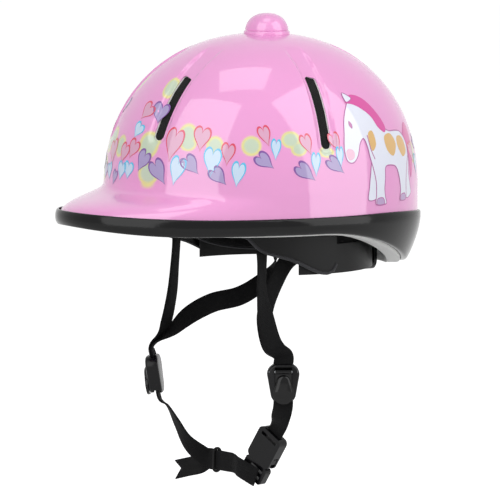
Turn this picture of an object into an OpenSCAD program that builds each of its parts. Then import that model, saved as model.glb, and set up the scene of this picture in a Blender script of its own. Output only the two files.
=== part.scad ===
// Child's riding helmet: a peaked ABS shell and edge trim over a foam liner, a dial-fit cradle
// inside it, and a harness of webbing with two cam dividers and a side-release buckle.
// Origin: centre of the head opening, level with the trim's lower edge at the sides.
// +Z is up, the peak points to -Y and +X is the wearer's left. Millimetres.

/* [Shell] */
// Half the shell's length, front to back, at its widest plane
shell_half_length = 125; // [105:1:150]
// Half the shell's width at its widest plane
shell_half_width = 102.5; // [86:0.5:123]
// Height of the crown above the widest plane
dome_height = 120; // [100:1:144]
// Height of the widest plane above the trim's lower edge at the sides
widest_plane = 24.5; // [22:0.5:30]
// Wall of the moulded shell
shell_wall = 2.5; // [2:0.1:3.5]
// How far the peak stands out in front of the dome
peak_reach = 42; // [30:1:52]

/* [Edge trim] */
// How far the trim stands out from the shell
trim_proud = 2.2; // [1.8:0.1:3]
// Fall of the trim's lower edge from the sides down to the nape
nape_fall = 32.5; // [26:0.5:39]
// How far the nape guard curls in at its lower edge
nape_tuck = 12; // [8:0.5:15]

/* [Liner] */
// Wall of the moulded foam liner
foam_wall = 15; // [12.5:0.5:18]
// Gap between pieces that are laid together without a fit
seat_gap = 0.3; // [0.2:0.05:0.4]

/* [Vents] */
// Width of each vent slot
vent_width = 9; // [7:0.5:11]
// Thickness of the mesh behind each slot
mesh_wall = 1; // [0.8:0.1:1.4]

/* [Button] */
// Diameter of the crown button
button_d = 34; // [28:1:40]
// Height of the crown button
button_h = 16.5; // [12:0.5:20]
// Diameter of the screw that holds the button
button_screw_d = 5; // [4:0.5:6]

/* [Cradle] */
// Gap between the brow band and the rear belts
belt_gap = 2.3; // [1.8:0.1:3]
// Thickness of the brow band and the belts
belt_wall = 1; // [0.8:0.1:1.3]
// Height of the middle of the rear belts
belt_level = -22; // [-26:1:-18]
// Pitch radius of the dial's pinion
pinion_r = 5.2; // [4.8:0.1:5.6]
// Diameter of the dial knob
knob_d = 32; // [26:1:36]
// Thickness of the comfort pads
pad_wall = 4; // [3:0.5:5]

/* [Harness] */
// Width of the webbing
webbing_w = 15; // [12.5:0.5:16]
// Thickness of the webbing
webbing_t = 1.4; // [1:0.1:1.6]
// Diameter of the divider's lever pin
lever_pin_d = 2.5; // [2:0.1:3]
// Width of the chin buckle
buckle_w = 24; // [22:0.5:27]

/* [Hidden] */

$fn = 48;
azimuths = 48;                     // steps round the shell
around = [for (i = [0:azimuths - 1]) i * 360 / azimuths];
roundness = 2.2;                   // exponent of the dome's profile
crown_flat = 0.2;                  // share of the plan that is the flat seat of the button
brim_rise = 8;                     // where the dome starts to flare, above the widest plane
run = 0.05;                        // radial clearance of a running fit
shell_tuck = 4;                    // how far the shell's edge reaches into the trim
peak_lift = 5.5;                   // rise of the trim's lower edge at the peak's tip
trim_lip = 0.6;                    // how far the trim's upper edge laps over the shell
foam_peep = 1.3;                   // how far the liner shows below the trim
inner_curl = 0.6;                  // share of the nape's curl that the liner's inner face has
foam_inset = shell_wall + seat_gap;
cavity_inset = foam_inset + foam_wall;
cavity_w = shell_half_width - cavity_inset;
cavity_l = shell_half_length - cavity_inset;
cavity_top = widest_plane + dome_height - cavity_inset;

// ---- the shell's shape: every skin is the outer form set in by some depth ----

function smooth(lo, hi, x) = let (t = max(0, min(1, (x - lo) / (hi - lo)))) t * t * (3 - 2 * t);
function off_front(p) = abs((p + 180) % 360 - 180);
function peak_push(p) = peak_reach * max(0, cos(min(90, 1.25 * off_front(p))));
function trim_top(p) = widest_plane - 8.4 - 4 * smooth(0, 65, off_front(p))
    - 7 * smooth(110, 180, off_front(p));
function trim_bottom(p) = peak_lift * (1 - smooth(0, 50, off_front(p)))
    - nape_fall * smooth(88, 166, off_front(p));
function shell_edge(p) = trim_top(p) - shell_tuck;
function tuck(z) = nape_tuck * pow(max(0, 7.5 - z) / 40, 1.5);
function plan(p, inset, share = 1) = [(shell_half_width - inset) * share * sin(p),
    -(shell_half_length - inset) * share * cos(p)];
function dome_ring(inset, e) = let (share = pow(cos(e), 2 / roundness))
    [for (p = around) [each plan(p, inset, share),
        widest_plane + (dome_height - inset) * pow(sin(e), 2 / roundness)]];
function crown_z(inset) = widest_plane
    + (dome_height - inset) * pow(sin(acos(pow(crown_flat, roundness / 2))), 2 / roundness);
dome_angles = [for (i = [0:8]) let (top = acos(pow(crown_flat, roundness / 2)),
    low = asin(pow(brim_rise / dome_height, roundness / 2))) top + (low - top) * i / 8];
function bezier(a, b, c, d, u) = a * pow(1 - u, 3) + 3 * b * u * pow(1 - u, 2)
    + 3 * c * u * u * (1 - u) + d * pow(u, 3);
// The flare from the dome out to the peak's edge; at the sides and back it falls straight down.
function flare_ring(inset, u) = [for (p = around) let (
        push = peak_push(p), drop = inset * push / peak_reach,
        brim = widest_plane - drop,
        out = bezier(0, 0, 0.95 * push, push, u),
        z = bezier(widest_plane + brim_rise, brim, brim, shell_edge(p) - drop, u),
        d = inset + tuck(z))
    [each (plan(p, d) + [0, -out]), z]];
function wall_ring(inset, bottom, u, curl) = [for (p = around) let (
        z = widest_plane + brim_rise + (bottom[p * azimuths / 360] - widest_plane - brim_rise) * u)
    [each plan(p, inset + curl * tuck(z)), z]];

// Closes a stack of rings, each listed the same way round, into one solid with flat ends.
module skin(rings, closed = false) {
    n = len(rings[0]);
    m = len(rings);
    walls = [for (j = [0:m - (closed ? 1 : 2)], i = [0:n - 1])
        [j * n + i, j * n + (i + 1) % n, (j + 1) % m * n + (i + 1) % n, (j + 1) % m * n + i]];
    ends = closed ? [] : [[for (i = [n - 1:-1:0]) i], [for (i = [0:n - 1]) (m - 1) * n + i]];
    polyhedron([for (ring = rings) each ring], concat(walls, ends), convexity = 10);
}

// Points +Z along a direction.
module aim(v) rotate([0, acos(v.z / norm(v)), atan2(v.y, v.x)]) children();

// ---- vents ----

// Azimuth and height of a slot's upper and lower ends, above the widest plane
front_vent = [[22, 93], [20.5, 46.5]];
side_vent = [[91.5, 92.5], [90.5, 39.5]];
rear_vent = [[158, 93], [159.5, 46.5]];
function mirrored(v) = [for (end = v) [-end[0], end[1]]];
vents = [front_vent, mirrored(front_vent), side_vent, mirrored(side_vent), rear_vent,
    mirrored(rear_vent)];
function dome_point(p, h) = [each plan(p, 0, pow(1 - pow(h / dome_height, roundness), 1 / roundness)),
    widest_plane + h];
function vent_normal(v) = let (p = (v[0][0] + v[1][0]) / 2, m = dome_point(p, (v[0][1] + v[1][1]) / 2))
    [m.x / pow(shell_half_width, 2), m.y / pow(shell_half_length, 2),
        (m.z - widest_plane) / pow(dome_height, 2)];
// A round-ended prism through the dome at one vent, wider than the slot by grow all round.
module vent_prism(v, grow, rise, sink) {
    dir = vent_normal(v);
    ends = [dome_point(v[0][0], v[0][1]), dome_point(v[1][0], v[1][1])];
    along = (ends[1] - ends[0]) / norm(ends[1] - ends[0]);
    hull() for (e = [ends[0] + along * vent_width / 2, ends[1] - along * vent_width / 2])
        translate(e) aim(dir) translate([0, 0, -sink])
            cylinder(h = rise + sink, r = vent_width / 2 + grow, $fn = 24);
}

// ---- shell, trim and liner ----

module outer_shell() color("#f08cc3") {
    outer = concat([for (e = dome_angles) dome_ring(0, e)], [for (u = [1:6]) flare_ring(0, u / 6)]);
    inner = concat([for (u = [6:-1:1]) flare_ring(shell_wall, u / 6)],
        [for (i = [8:-1:0]) dome_ring(shell_wall, dome_angles[i])]);
    // The rebuild keeps a smooth skin as one mesh, so the cuts are made in that mesh.
    resize([0, 0, 0]) difference() {
        skin(concat(outer, inner));
        for (v = vents) vent_prism(v, 0, 20, 20);
        translate([0, button_y, crown_z(0) - 20]) cylinder(h = 40, d = button_screw_d + 0.6, $fn = 24);
    }
}

// One slice of the trim, as [set out from the shell's edge, height] points.
function trim_slice(p) = let (
        top = trim_top(p), low = trim_bottom(p), seat = shell_edge(p) - seat_gap
            - shell_wall * peak_push(p) / peak_reach,
        inner = seat_gap, deep = -shell_wall)
    [[inner, top + trim_lip], [trim_proud - 0.8, top + trim_lip], [trim_proud, top - 0.6],
        [trim_proud, top + (low - top) * 0.4], [trim_proud, top + (low - top) * 0.7],
        [trim_proud, low + 1.4], [trim_proud - 1.3, low], [deep, low],
        [deep, (seat + low) / 2], [deep, seat], [inner, seat]];
module edge_trim() color("#141414") resize([0, 0, 0]) skin([for (p = around) let (
        side = [shell_half_length * sin(p), -shell_half_width * cos(p)] / norm(
            [shell_half_length * sin(p), shell_half_width * cos(p)]))
    [for (s = trim_slice(p)) [each (plan(p, tuck(s[1])) + [0, -peak_push(p)] + side * s[0]), s[1]]]],
    closed = true);

function foam_bottom(p) = -foam_peep + 1.5 * (1 - smooth(0, 60, off_front(p)))
    - nape_fall * smooth(88, 166, off_front(p));
foam_edge = [for (p = around) foam_bottom(p)];
screw_pocket = 6;                  // depth left in the liner over the button's screw head
module foam_liner() color("#f4f4f2") resize([0, 0, 0]) difference() {
    skin(concat([for (e = dome_angles) dome_ring(foam_inset, e)],
        [for (u = [1:4]) wall_ring(foam_inset, foam_edge, u / 4, 1)],
        [for (u = [4:-1:1]) wall_ring(cavity_inset, foam_edge, u / 4, inner_curl)],
        [for (i = [8:-1:0]) dome_ring(cavity_inset, dome_angles[i])]));
    for (v = vents) {
        vent_prism(v, -0.5, 20, 40);
        difference() {
            vent_prism(v, 3.5, 20, 12);
            skin(mesh_backing(foam_inset + mesh_wall + 2 * seat_gap));
        }
    }
    translate([0, button_y, crown_z(foam_inset) - screw_pocket])
        cylinder(h = 20, d = 3 * button_screw_d, $fn = 24);
    for (a = anchors) at_anchor(a) translate([0, 0, -plate_t - 2 * seat_gap])
        linear_extrude(10) square([plate_w + 1, plate_h + 1], center = true);
    for (a = band_pin_angles) at_wall(a, band_pin_level) translate([0, 0, -pin_depth - 1])
        cylinder(h = 12, r = band_pin_d / 2 + run, $fn = 24);
}

// The solid dome set in by some depth, closed flat at the brim.
function mesh_backing(inset) = [for (e = dome_angles) dome_ring(inset, e)];
module vent_mesh(i) color("#101010") resize([0, 0, 0]) difference() {
    intersection() {
        vent_prism(vents[i], 3, 20, 12);
        skin(mesh_backing(foam_inset));
    }
    skin(mesh_backing(foam_inset + mesh_wall));
}
module front_left_mesh() vent_mesh(0);
module front_right_mesh() vent_mesh(1);
module side_left_mesh() vent_mesh(2);
module side_right_mesh() vent_mesh(3);
module rear_left_mesh() vent_mesh(4);
module rear_right_mesh() vent_mesh(5);

// ---- crown button ----

button_y = 5;                      // the button sits a little behind the middle
thread_depth = 9;
module crown_button() color("#f08cc3") translate([0, button_y, crown_z(0)])
    rotate_extrude() difference() {
        union() {
            square([button_d / 2, 3.5]);
            translate([0, 3.5]) square([button_d / 2 - 0.8, 1]);
            intersection() {
                translate([0, button_h - 19.5]) circle(r = 19.5);
                translate([0, 4.5]) square([button_d / 2 - 0.8, button_h - 4.5]);
            }
        }
        square([button_screw_d / 2, thread_depth]);
    }
module button_screw() color("silver") translate([0, button_y, crown_z(0)]) {
    translate([0, 0, -shell_wall - 1.2]) cylinder(h = shell_wall + 1.2 + thread_depth - 0.5,
        d = button_screw_d);
    translate([0, 0, -shell_wall - 1.2 - 2.5]) cylinder(h = 2.5, d = 1.8 * button_screw_d);
}
module button_washer() color("silver") translate([0, button_y, crown_z(0) - shell_wall - 1.2])
    difference() {
        cylinder(h = 1.2, d = 2.6 * button_screw_d);
        translate([0, 0, -1]) cylinder(h = 4, d = button_screw_d + 2 * run);
    }

// ---- strap anchors on the liner's inner wall ----

plate_w = 17;
plate_h = 20;
plate_t = 1.6;
anchor_level = widest_plane + 8;
anchors = [69, 118, -118, -69];    // azimuths, front left first
rivet_d = 4;
function wall_point(p, z) = [each plan(p, cavity_inset), z];
function wall_in(p) = -[shell_half_length * sin(p), -shell_half_width * cos(p), 0]
    / norm([shell_half_length * sin(p), shell_half_width * cos(p), 0]);
// Stands on the liner's inner wall with +Z pointing in to the head and +Y up.
module at_wall(p, z) translate(wall_point(p, z)) rotate([0, 0, atan2(wall_in(p).y, wall_in(p).x)])
    rotate([90, 0, 90]) children();
module at_anchor(p) at_wall(p, anchor_level) children();
strap_seat = seat_gap + webbing_t / 2;
module anchor_plates() color("#1a1a1a") for (a = anchors) at_anchor(a)
    translate([0, 0, -plate_t - seat_gap]) difference() {
        linear_extrude(plate_t) {
            square([plate_w - 4, plate_h], center = true);
            square([plate_w, plate_h - 4], center = true);
            for (x = [-1, 1], y = [-1, 1]) translate([x * (plate_w / 2 - 2), y * (plate_h / 2 - 2)])
                circle(r = 2);
        }
        translate([0, 0, -1]) cylinder(h = plate_t + 2, d = rivet_d);
    }
module anchor_rivets() color("#2a2a2a") for (a = anchors) at_anchor(a) {
    translate([0, 0, -plate_t - seat_gap]) cylinder(h = plate_t + 2 * seat_gap + webbing_t + 0.2,
        d = rivet_d);
    translate([0, 0, 0.2 + webbing_t + seat_gap]) intersection() {
        cylinder(h = 1.6, r = 4.5);
        translate([0, 0, -6.4]) sphere(r = 8);
    }
}

// ---- cradle: brow band, two toothed belts and the dial ----

dial_room = 21.2;                  // from the belts back to the liner's wall
band_gap = 3.4;                    // between the liner and the brow band
band_top_z = 12;
band_pin_angles = [61, 95, -95, -61];
band_pin_level = 6;
band_pin_d = 3;
pin_depth = 7;
belt_r = cavity_w - band_gap - belt_wall - belt_gap;
rear_y = cavity_l - dial_room;
cradle_y = rear_y - belt_r;        // centre of the belts' arc
guide_y = 15.5;                    // where ribs on the band guide the belts
guide_x = sqrt(pow(belt_r, 2) - pow(guide_y - cradle_y, 2)) + seat_gap;
guide_end = (cavity_w - band_gap - belt_wall / 2)
    * sqrt(1 - pow((guide_y + 2) / (cavity_l - band_gap - belt_wall / 2), 2));
belt_h = 22;
module ellipse(half_w, half_l) polygon([for (i = [0:71]) [half_w * sin(i * 5), -half_l * cos(i * 5)]]);
// The band follows the liner inside, and hangs lower towards the back to meet the belts.
module brow_band() color("#161616") {
    for (side = [0, 1]) mirror([side, 0, 0]) translate([guide_x, guide_y, belt_level - 9])
        cube([guide_end - guide_x, 4, 18]);
    difference() {
        intersection() {
            translate([0, 0, -40]) linear_extrude(60) difference() {
                ellipse(cavity_w - band_gap, cavity_l - band_gap);
                ellipse(cavity_w - band_gap - belt_wall, cavity_l - band_gap - belt_wall);
            }
            rotate([90, 0, 90]) translate([0, 0, -150]) linear_extrude(300) polygon([
                [-150, -1], [-58, -1], [-52, -3], [-45, -13], [-30, -17.5], [-12, -24], [4, -32],
                [20, -33], [20, band_top_z], [-150, band_top_z]]);
        }
        for (a = band_pin_angles) at_wall(a, band_pin_level) cylinder(h = 9, d = band_pin_d);
    }
}
module band_pins() color("#303030") for (a = band_pin_angles) at_wall(a, band_pin_level) {
    translate([0, 0, -pin_depth]) cylinder(h = pin_depth + band_gap + belt_wall, d = band_pin_d);
    translate([0, 0, band_gap + belt_wall + 0.15]) cylinder(h = 0.9, d = 8);
    translate([0, 0, band_gap + belt_wall - 0.1]) cylinder(h = 0.3, d = band_pin_d);
}

// A strip of belt between two angles about the cradle's centre, and between two heights.
module belt_strip(from, to, low, high) translate([0, cradle_y, low]) rotate([0, 0, from])
    rotate_extrude(angle = to - from, $fn = 96) translate([belt_r - belt_wall, 0])
        square([belt_wall, high - low]);
teeth = 12;
tooth_pitch = 2 * PI * pinion_r / teeth;
tooth_h = 1.6;
rack_step = tooth_pitch / (belt_r - belt_wall / 2) * 180 / PI;
// One belt, with its rack above (side = 1) or below (side = -1) the pinion.
module belt(side) {
    near = belt_level + side * (pinion_r - tooth_h / 2);
    low = belt_level - belt_h / 2;
    high = belt_level + belt_h / 2;
    end = 90 + 4.5 * rack_step;
    mirror([side < 0 ? 1 : 0, 0, 0]) difference() {
        belt_strip(-14, end, low, high);
        translate([0, cradle_y, side > 0 ? low - 1 : near]) linear_extrude(side > 0 ? near - low + 1
            : high - near + 1) polygon([[0, 0], [2 * belt_r * cos(55), 2 * belt_r * sin(55)],
            [-belt_r, 2 * belt_r]]);
        for (i = [-3:12]) translate([0, cradle_y, near]) rotate([0, 0, -i * rack_step])
            rotate([-90, 0, 0]) translate([0, 0, belt_r - 3]) linear_extrude(6)
                polygon([[-0.95, 1], [-0.95, 0], [-0.45, -1.8], [0.45, -1.8], [0.95, 0],
                    [0.95, 1]] * [[1, 0], [0, side]]);
    }
}
module left_belt() color("#1b1b1b") belt(1);
module right_belt() color("#1b1b1b") belt(-1);

housing_w = 44;
housing_h = 34;
housing_in = rear_y - belt_wall;   // inner face of the belts at the back
module rounded_plate(w, h, r, t) linear_extrude(t) {
    square([w - 2 * r, h], center = true);
    square([w, h - 2 * r], center = true);
    for (x = [-1, 1], y = [-1, 1]) translate([x * (w / 2 - r), y * (h / 2 - r)]) circle(r = r);
}
// Stands at the dial's axis, +Z pointing back and out of the helmet and +Y up.
module at_dial(y) translate([0, y, belt_level]) rotate([90, 0, 180]) children();
axle_d = 4;
cover_face = housing_in - 6.6;     // face of the cover on the head's side
cover_t = 2;
hub_r = 4.2;
knob_seat = 11.7;                  // from the cover's face to the knob
module dial_cover() color("#161616") at_dial(cover_face) difference() {
    rounded_plate(housing_w, housing_h, 8, cover_t);
    translate([0, 0, -1]) cylinder(h = 4, d = axle_d + 2 * run);
}
module dial_housing() color("#161616") at_dial(cover_face + cover_t) difference() {
    rounded_plate(housing_w, housing_h, 8, knob_seat - cover_t - seat_gap);
    translate([0, 0, -1]) linear_extrude(8) square([housing_w + 10, belt_h + 1], center = true);
    cylinder(h = 20, r = hub_r + run);
}
module dial_pinion() color("#3a3a3a") at_dial(cover_face + cover_t + 0.2) difference() {
    union() {
        linear_extrude(6.2) {
            circle(r = pinion_r - tooth_h / 2 - 0.1);
            for (i = [0:teeth - 1]) rotate(90 + i * 360 / teeth) polygon([[3.5, -0.75],
                [pinion_r - 0.5, -0.62], [pinion_r + 0.75, -0.28], [pinion_r + 0.75, 0.28],
                [pinion_r - 0.5, 0.62], [3.5, 0.75]]);
        }
        cylinder(h = knob_seat - cover_t - 0.2, r = hub_r);
    }
    translate([0, 0, -1]) cylinder(h = 14, d = axle_d + 2 * run);
}
knob_t = 4.5;
knob_grip = 1.1;                   // depth of the finger grips round the knob
module dial_knob() color("#1c1c1c") at_dial(cover_face + knob_seat) difference() {
    union() {
        cylinder(h = knob_t, d = knob_d - 3);
        linear_extrude(3.2) polygon([for (i = [0:143]) let (
            r = knob_d / 2 - knob_grip * (1 - cos(18 * i * 2.5)) / 2) [r * cos(i * 2.5), r * sin(i * 2.5)]]);
    }
    translate([0, 0, -1]) cylinder(h = 12, d = axle_d + 2 * run);
    translate([0, 0, knob_t - 1.3]) cylinder(h = 3, d = axle_d + 5);
}
module dial_screw() color("silver") at_dial(cover_face - 0.1) {
    cylinder(h = knob_seat + knob_t - 1.2, d = axle_d);
    translate([0, 0, knob_seat + knob_t - 1.2]) cylinder(h = 1, d = axle_d + 4);
    translate([0, 0, -0.9]) cylinder(h = 0.9, d = axle_d + 2);
}

// ---- comfort pads ----

// A closed strip of padding on an arc: centre, radii, angles from +X, heights at each end.
module arc_pad(cy, rw, rl, from, to, low, high, steps) skin([for (i = [0:steps]) let (
        a = from + (to - from) * i / steps, t = i / steps,
        fade = 0.35 + 0.65 * pow(max(0, sin(180 * (0.04 + 0.92 * t))), 0.4),
        mid = (low(t) + high(t)) / 2, half = (high(t) - low(t)) / 2 * fade)
    [for (c = [[0, -1], [0, 1], [0.5, 1], [1, 0.8], [1, -0.8], [0.5, -1]])
        [(rw - c[0] * pad_wall) * cos(a), cy + (rl - c[0] * pad_wall) * sin(a), mid + c[1] * half]]]);
pad_gap = 0.4;                     // between a pad and what it is fixed to
pad_w = cavity_w - band_gap - belt_wall - pad_gap;
pad_l = cavity_l - band_gap - belt_wall - pad_gap;
side_pad_r = belt_r - belt_wall - pad_gap;
module brow_pad() color("#202020") arc_pad(0, pad_w, pad_l, 214, 326, function (t) -1,
    function (t) 14, 18);
module left_side_pad() color("#202020") arc_pad(cradle_y, side_pad_r, side_pad_r, -25, 42,
    function (t) -30 + 12 * pow(1 - t, 2), function (t) 10 - 18 * t, 10);
module right_side_pad() mirror([1, 0, 0]) left_side_pad();
nape_face = cover_face - cradle_y - 1.2;
module nape_pad() color("#202020") arc_pad(cradle_y, nape_face, nape_face, 62, 118,
    function (t) -38 - 2 * sin(180 * t), function (t) -7, 10);
crown_pad_d = 70;
pad_seat = crown_z(cavity_inset);
module crown_pad() color("#202020") translate([0, 0, pad_seat - 1.5 - pad_wall - 1])
    rotate_extrude() {
        square([crown_pad_d / 2 - 28, pad_wall + 1]);
        translate([crown_pad_d / 2 - 28, 0]) polygon([[0, 0], [25, -3.5], [28, -1.5], [26, 0],
            [24, 0.4], [0, pad_wall + 1]]);
    }
module hook_dots() color("#0c0c0c") for (a = [45:90:315]) rotate(a)
    translate([5, 0, pad_seat - 1.5]) cylinder(h = 1.2, d = 6);

// ---- harness ----

function unit(v) = v / norm(v);
function curve(a, b, c, d, t) = 0.5 * (2 * b + (c - a) * t + (2 * a - 5 * b + 4 * c - d) * t * t
    + (3 * b - a - 3 * c + d) * t * t * t);
function path(pts, k) = [for (i = [0:len(pts) - 2], j = [0:k - 1]) let (a = pts[max(0, i - 1)],
    b = pts[i], c = pts[i + 1], d = pts[min(len(pts) - 1, i + 2)]) curve(a, b, c, d, j / k),
    pts[len(pts) - 1]];
// A flat strap: centre points, and the way its width lies at each of them.
module ribbon(pts, lay, thick = webbing_t) {
    c = path(pts, 3);
    w = path(lay, 3);
    n = len(c);
    resize([0, 0, 0]) skin([for (i = [0:n - 1]) let (
            t = unit(c[min(n - 1, i + 1)] - c[max(0, i - 1)]),
            wide = unit(w[i] - t * (w[i] * t)), flat = cross(t, wide))
        [for (s = [[-1, -1], [1, -1], [1, 1], [-1, 1]])
            c[i] + wide * s[0] * webbing_w / 2 + flat * s[1] * thick / 2]]);
}
// Where a strap leaves an anchor, set in from the liner's wall.
function strap_start(p, up, off = 0) = wall_point(p, anchor_level + up)
    + wall_in(p) * (strap_seat + off);
function along_wall(p) = cross(wall_in(p), [0, 0, 1]);

left_divider = [61, -16, -116];
left_turn = [0, 0, 62];
right_divider = [-53, -62, -118];
right_turn = [8, 0, -37];
pads_in = pad_w - pad_wall - 2;    // clear of the pads on the head's side
// Carries a point or a direction through the turns about X, Y and Z, as rotate() does.
function turned(t, v) = let (a = [v.x, v.y * cos(t.x) - v.z * sin(t.x), v.y * sin(t.x) + v.z * cos(t.x)],
        b = [a.x * cos(t.y) + a.z * sin(t.y), a.y, a.z * cos(t.y) - a.x * sin(t.y)])
    [b.x * cos(t.z) - b.y * sin(t.z), b.x * sin(t.z) + b.y * cos(t.z), b.z];
function in_left(v) = left_divider + turned(left_turn, v);
function in_right(v) = right_divider + turned(right_turn, v);
left_wide = turned(left_turn, [-1, 0, 0]);
right_wide = turned(right_turn, [1, 0, 0]);
layer = 0.95;                      // half the spacing of two straps laid face to face

module left_front_strap() color("#1d1d1d") ribbon(
    [strap_start(69, 9), strap_start(69, 0), strap_start(69, -8, 0.4), [pads_in - 4.5, -38, 14],
        [pads_in - 7, -38.5, 0], [68, -38.5, -20], [67, -38, -45], [66.3, -34, -66],
        [64.4, -27, -86], in_left([0, -1, 21]), in_left([0, -layer, 13]), in_left([0, -layer, 1])],
    [along_wall(69), along_wall(69), along_wall(69), [0, -1, 0], [0.2, -0.95, 0], [0.5, -0.8, 0],
        [0.5, -0.8, 0], [0.1, -1, 0], [-0.2, -1, 0], left_wide, left_wide, left_wide]);
module left_rear_strap() color("#1d1d1d") ribbon(
    [strap_start(118, 9), strap_start(118, 0), strap_start(118, -8, 1), [65, 46, 13], [60, 38, 2],
        [60, 20, -8], [61, 0, -16], [62.5, -14, -24], [62.3, -24, -40], [62.2, -31, -56],
        [62, -32.5, -68], [60.8, -26.5, -86], in_left([0, 1.1, 21]), in_left([0, layer, 13]), in_left([0, layer, 1])],
    [along_wall(118), along_wall(118), along_wall(118), [0.3, -1, 0.1], [0.2, -0.9, 0.4],
        [0.1, -0.6, 0.8], [0.05, -0.6, 0.8], [0.1, -0.85, 0.5], [0.15, -0.95, 0.25],
        [0.15, -1, 0], [0.08, -1, 0], [-0.2, -1, 0], left_wide, left_wide, left_wide]);
module right_front_strap() color("#1d1d1d") ribbon(
    [strap_start(-69, 9), strap_start(-69, 0), strap_start(-69, -8, 0.4), [-pads_in + 3.5, -37, 14],
        [-pads_in + 5, -36, 0], [-67, -36, -15], [-66, -38, -35], [-64, -42, -60], [-60, -51, -84],
        in_right([0, -1, 22]), in_right([0, -layer, 13]), in_right([0, -layer, 1])],
    [along_wall(-69), along_wall(-69), along_wall(-69), [0, 1, 0], [-0.4, 0.9, 0], [-0.6, 0.8, 0],
        [-0.6, 0.8, 0], [-0.5, 0.85, 0], [-0.5, 0.85, 0], -right_wide, -right_wide, -right_wide]);
module right_rear_strap() color("#1d1d1d") ribbon(
    [strap_start(-118, 9), strap_start(-118, 0), strap_start(-118, -8, 1), [-60, 46, 12],
        [-52.5, 43, -9], [-51, 43, -30], [-51.5, 40, -44], [-54, 28, -55], [-57, 13, -63],
        [-60, -8, -67], [-59.5, -28, -75], [-56.5, -45, -86], in_right([0, 1.4, 22]),
        in_right([0, layer, 13]), in_right([0, layer, 1])],
    [along_wall(-118), along_wall(-118), along_wall(-118), [-0.3, 1, 0], [-0.3, 1, 0],
        [-0.5, 0.6, 0.2], [-0.7, 0.2, 0.5], [-0.6, 0.1, 0.8], [-0.4, 0.1, 1], [-0.3, 0, 1],
        [-0.6, 0.2, 0.8], [-0.8, 0.4, 0.4], -right_wide, -right_wide, -right_wide]);

buckle_foot = [22, -20.6, -191.5]; // lower end of the buckle's axis
buckle_turn = [0, 33, 19];
buckle_len = 42;
function in_buckle(v) = buckle_foot + turned(buckle_turn, v);
module at_buckle() translate(buckle_foot) rotate(buckle_turn) children();
buckle_wide = turned(buckle_turn, [1, 0, 0]);

module left_lower_strap() color("#1d1d1d") ribbon(
    [in_left([0, 0, -1]), in_left([0, 0, -17]), left_divider + [-5, 0.6, -27],
        in_buckle([0, 0, buckle_len + 5]), in_buckle([0, 0, buckle_len - 3])],
    [-left_wide, -left_wide, [0.7, 0.6, -0.2], buckle_wide, buckle_wide]);
ring_at = [-15, -31, -182];        // where the keeper ring sits on the chin webbing
ring_run = [-42, -7.3, 1];
module chin_strap() color("#1d1d1d") ribbon(
    [in_buckle([7, -5.6, 5.5]), in_buckle([-2, -5.9, 3.5]), in_buckle([-12, -5, 1]), ring_at - ring_run * 0.5,
        ring_at - ring_run * 0.25, ring_at, ring_at + ring_run * 0.25, [-35, -44, -170],
        [-43, -49.5, -155], [-48.5, -54, -143], in_right([0, 0, -18]), in_right([0, 0, -1])],
    [[0, 0, 1], [0, 0, 1], [0, 0, 1], [0, 0, 1], [0, 0, 1], [0, 0, 1], [0.1, 0, 1], [0.6, -0.1, 0.75],
        [0.8, -0.3, 0.5], [0.8, -0.5, 0.3], right_wide, right_wide]);
tail_off = 1.9;
function beside(v) = v + unit(cross(ring_run, [0, 0, 1])) * tail_off;
module strap_tail() color("#1d1d1d") ribbon(
    [beside(ring_at - ring_run * 0.42), beside(ring_at - ring_run * 0.25), beside(ring_at),
        beside(ring_at + ring_run * 0.25), [-34, -33, -187], [-50, -35, -191], [-66, -38, -195]],
    [[0, 0, 1], [0, 0, 1], [0, 0, 1], [0, 0, 1], [0.1, 0.1, 1], [0.2, 0.2, 1], [0.3, 0.2, 1]]);

// Cam divider: a sleeve for the webbing with a sprung lever clamped down on it.
divider_w = 25;
divider_h = 30;
slot_t = 4.4;
sleeve_back = 1.8;
lever_room = 6.6;                  // half the width of the lever's pocket
ear_y = -slot_t / 2 - 3.6;         // front of the ears
lever_axis = [0, -slot_t / 2 - 2.1, 9];
module at_left_divider() translate(left_divider) rotate(left_turn) children();
module at_right_divider() translate(right_divider) rotate(right_turn) children();
module divider_body() difference() {
    rotate([90, 0, 0]) translate([0, 0, -slot_t / 2 - sleeve_back])
        rounded_plate(divider_w, divider_h, 7, slot_t + sleeve_back + 3.6);
    translate([-webbing_w / 2 - 0.6, -slot_t / 2, -divider_h]) cube([webbing_w + 1.2, slot_t,
        2 * divider_h]);
    translate([-lever_room, ear_y - 1, -divider_h]) cube([2 * lever_room, 4.6 + 1, divider_h + 13]);
    translate([-divider_w, lever_axis.y, lever_axis.z]) rotate([0, 90, 0])
        cylinder(h = 2 * divider_w, d = lever_pin_d);
}
lever_disc = 8.2;
module divider_lever() difference() {
    union() {
        translate([-lever_room + 0.3, lever_axis.y, lever_axis.z]) rotate([0, 90, 0])
            cylinder(h = 2 * lever_room - 0.6, r = 2);
        translate([-lever_room + 0.3, ear_y + 0.3, -4]) cube([2 * lever_room - 0.6, 2.4, 13]);
        translate([0, ear_y - 0.3, -7]) rotate([90, 0, 0]) cylinder(h = 2.2, r = lever_disc);
        translate([0, ear_y + 1, -4]) rotate([90, 0, 0]) cylinder(h = 1.4, r = 5);
    }
    translate([-divider_w, lever_axis.y, lever_axis.z]) rotate([0, 90, 0])
        cylinder(h = 2 * divider_w, d = lever_pin_d + 2 * run);
}
module divider_pin() translate([-divider_w / 2 + 1.5, lever_axis.y, lever_axis.z])
    rotate([0, 90, 0]) cylinder(h = divider_w - 3, d = lever_pin_d);
module left_divider_body() color("#222222") at_left_divider() divider_body();
module left_divider_lever() color("#2c2c2c") at_left_divider() divider_lever();
module left_divider_pin() color("silver") at_left_divider() divider_pin();
module right_divider_body() color("#222222") at_right_divider() divider_body();
module right_divider_lever() color("#2c2c2c") at_right_divider() divider_lever();
module right_divider_pin() color("silver") at_right_divider() divider_pin();

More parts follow.
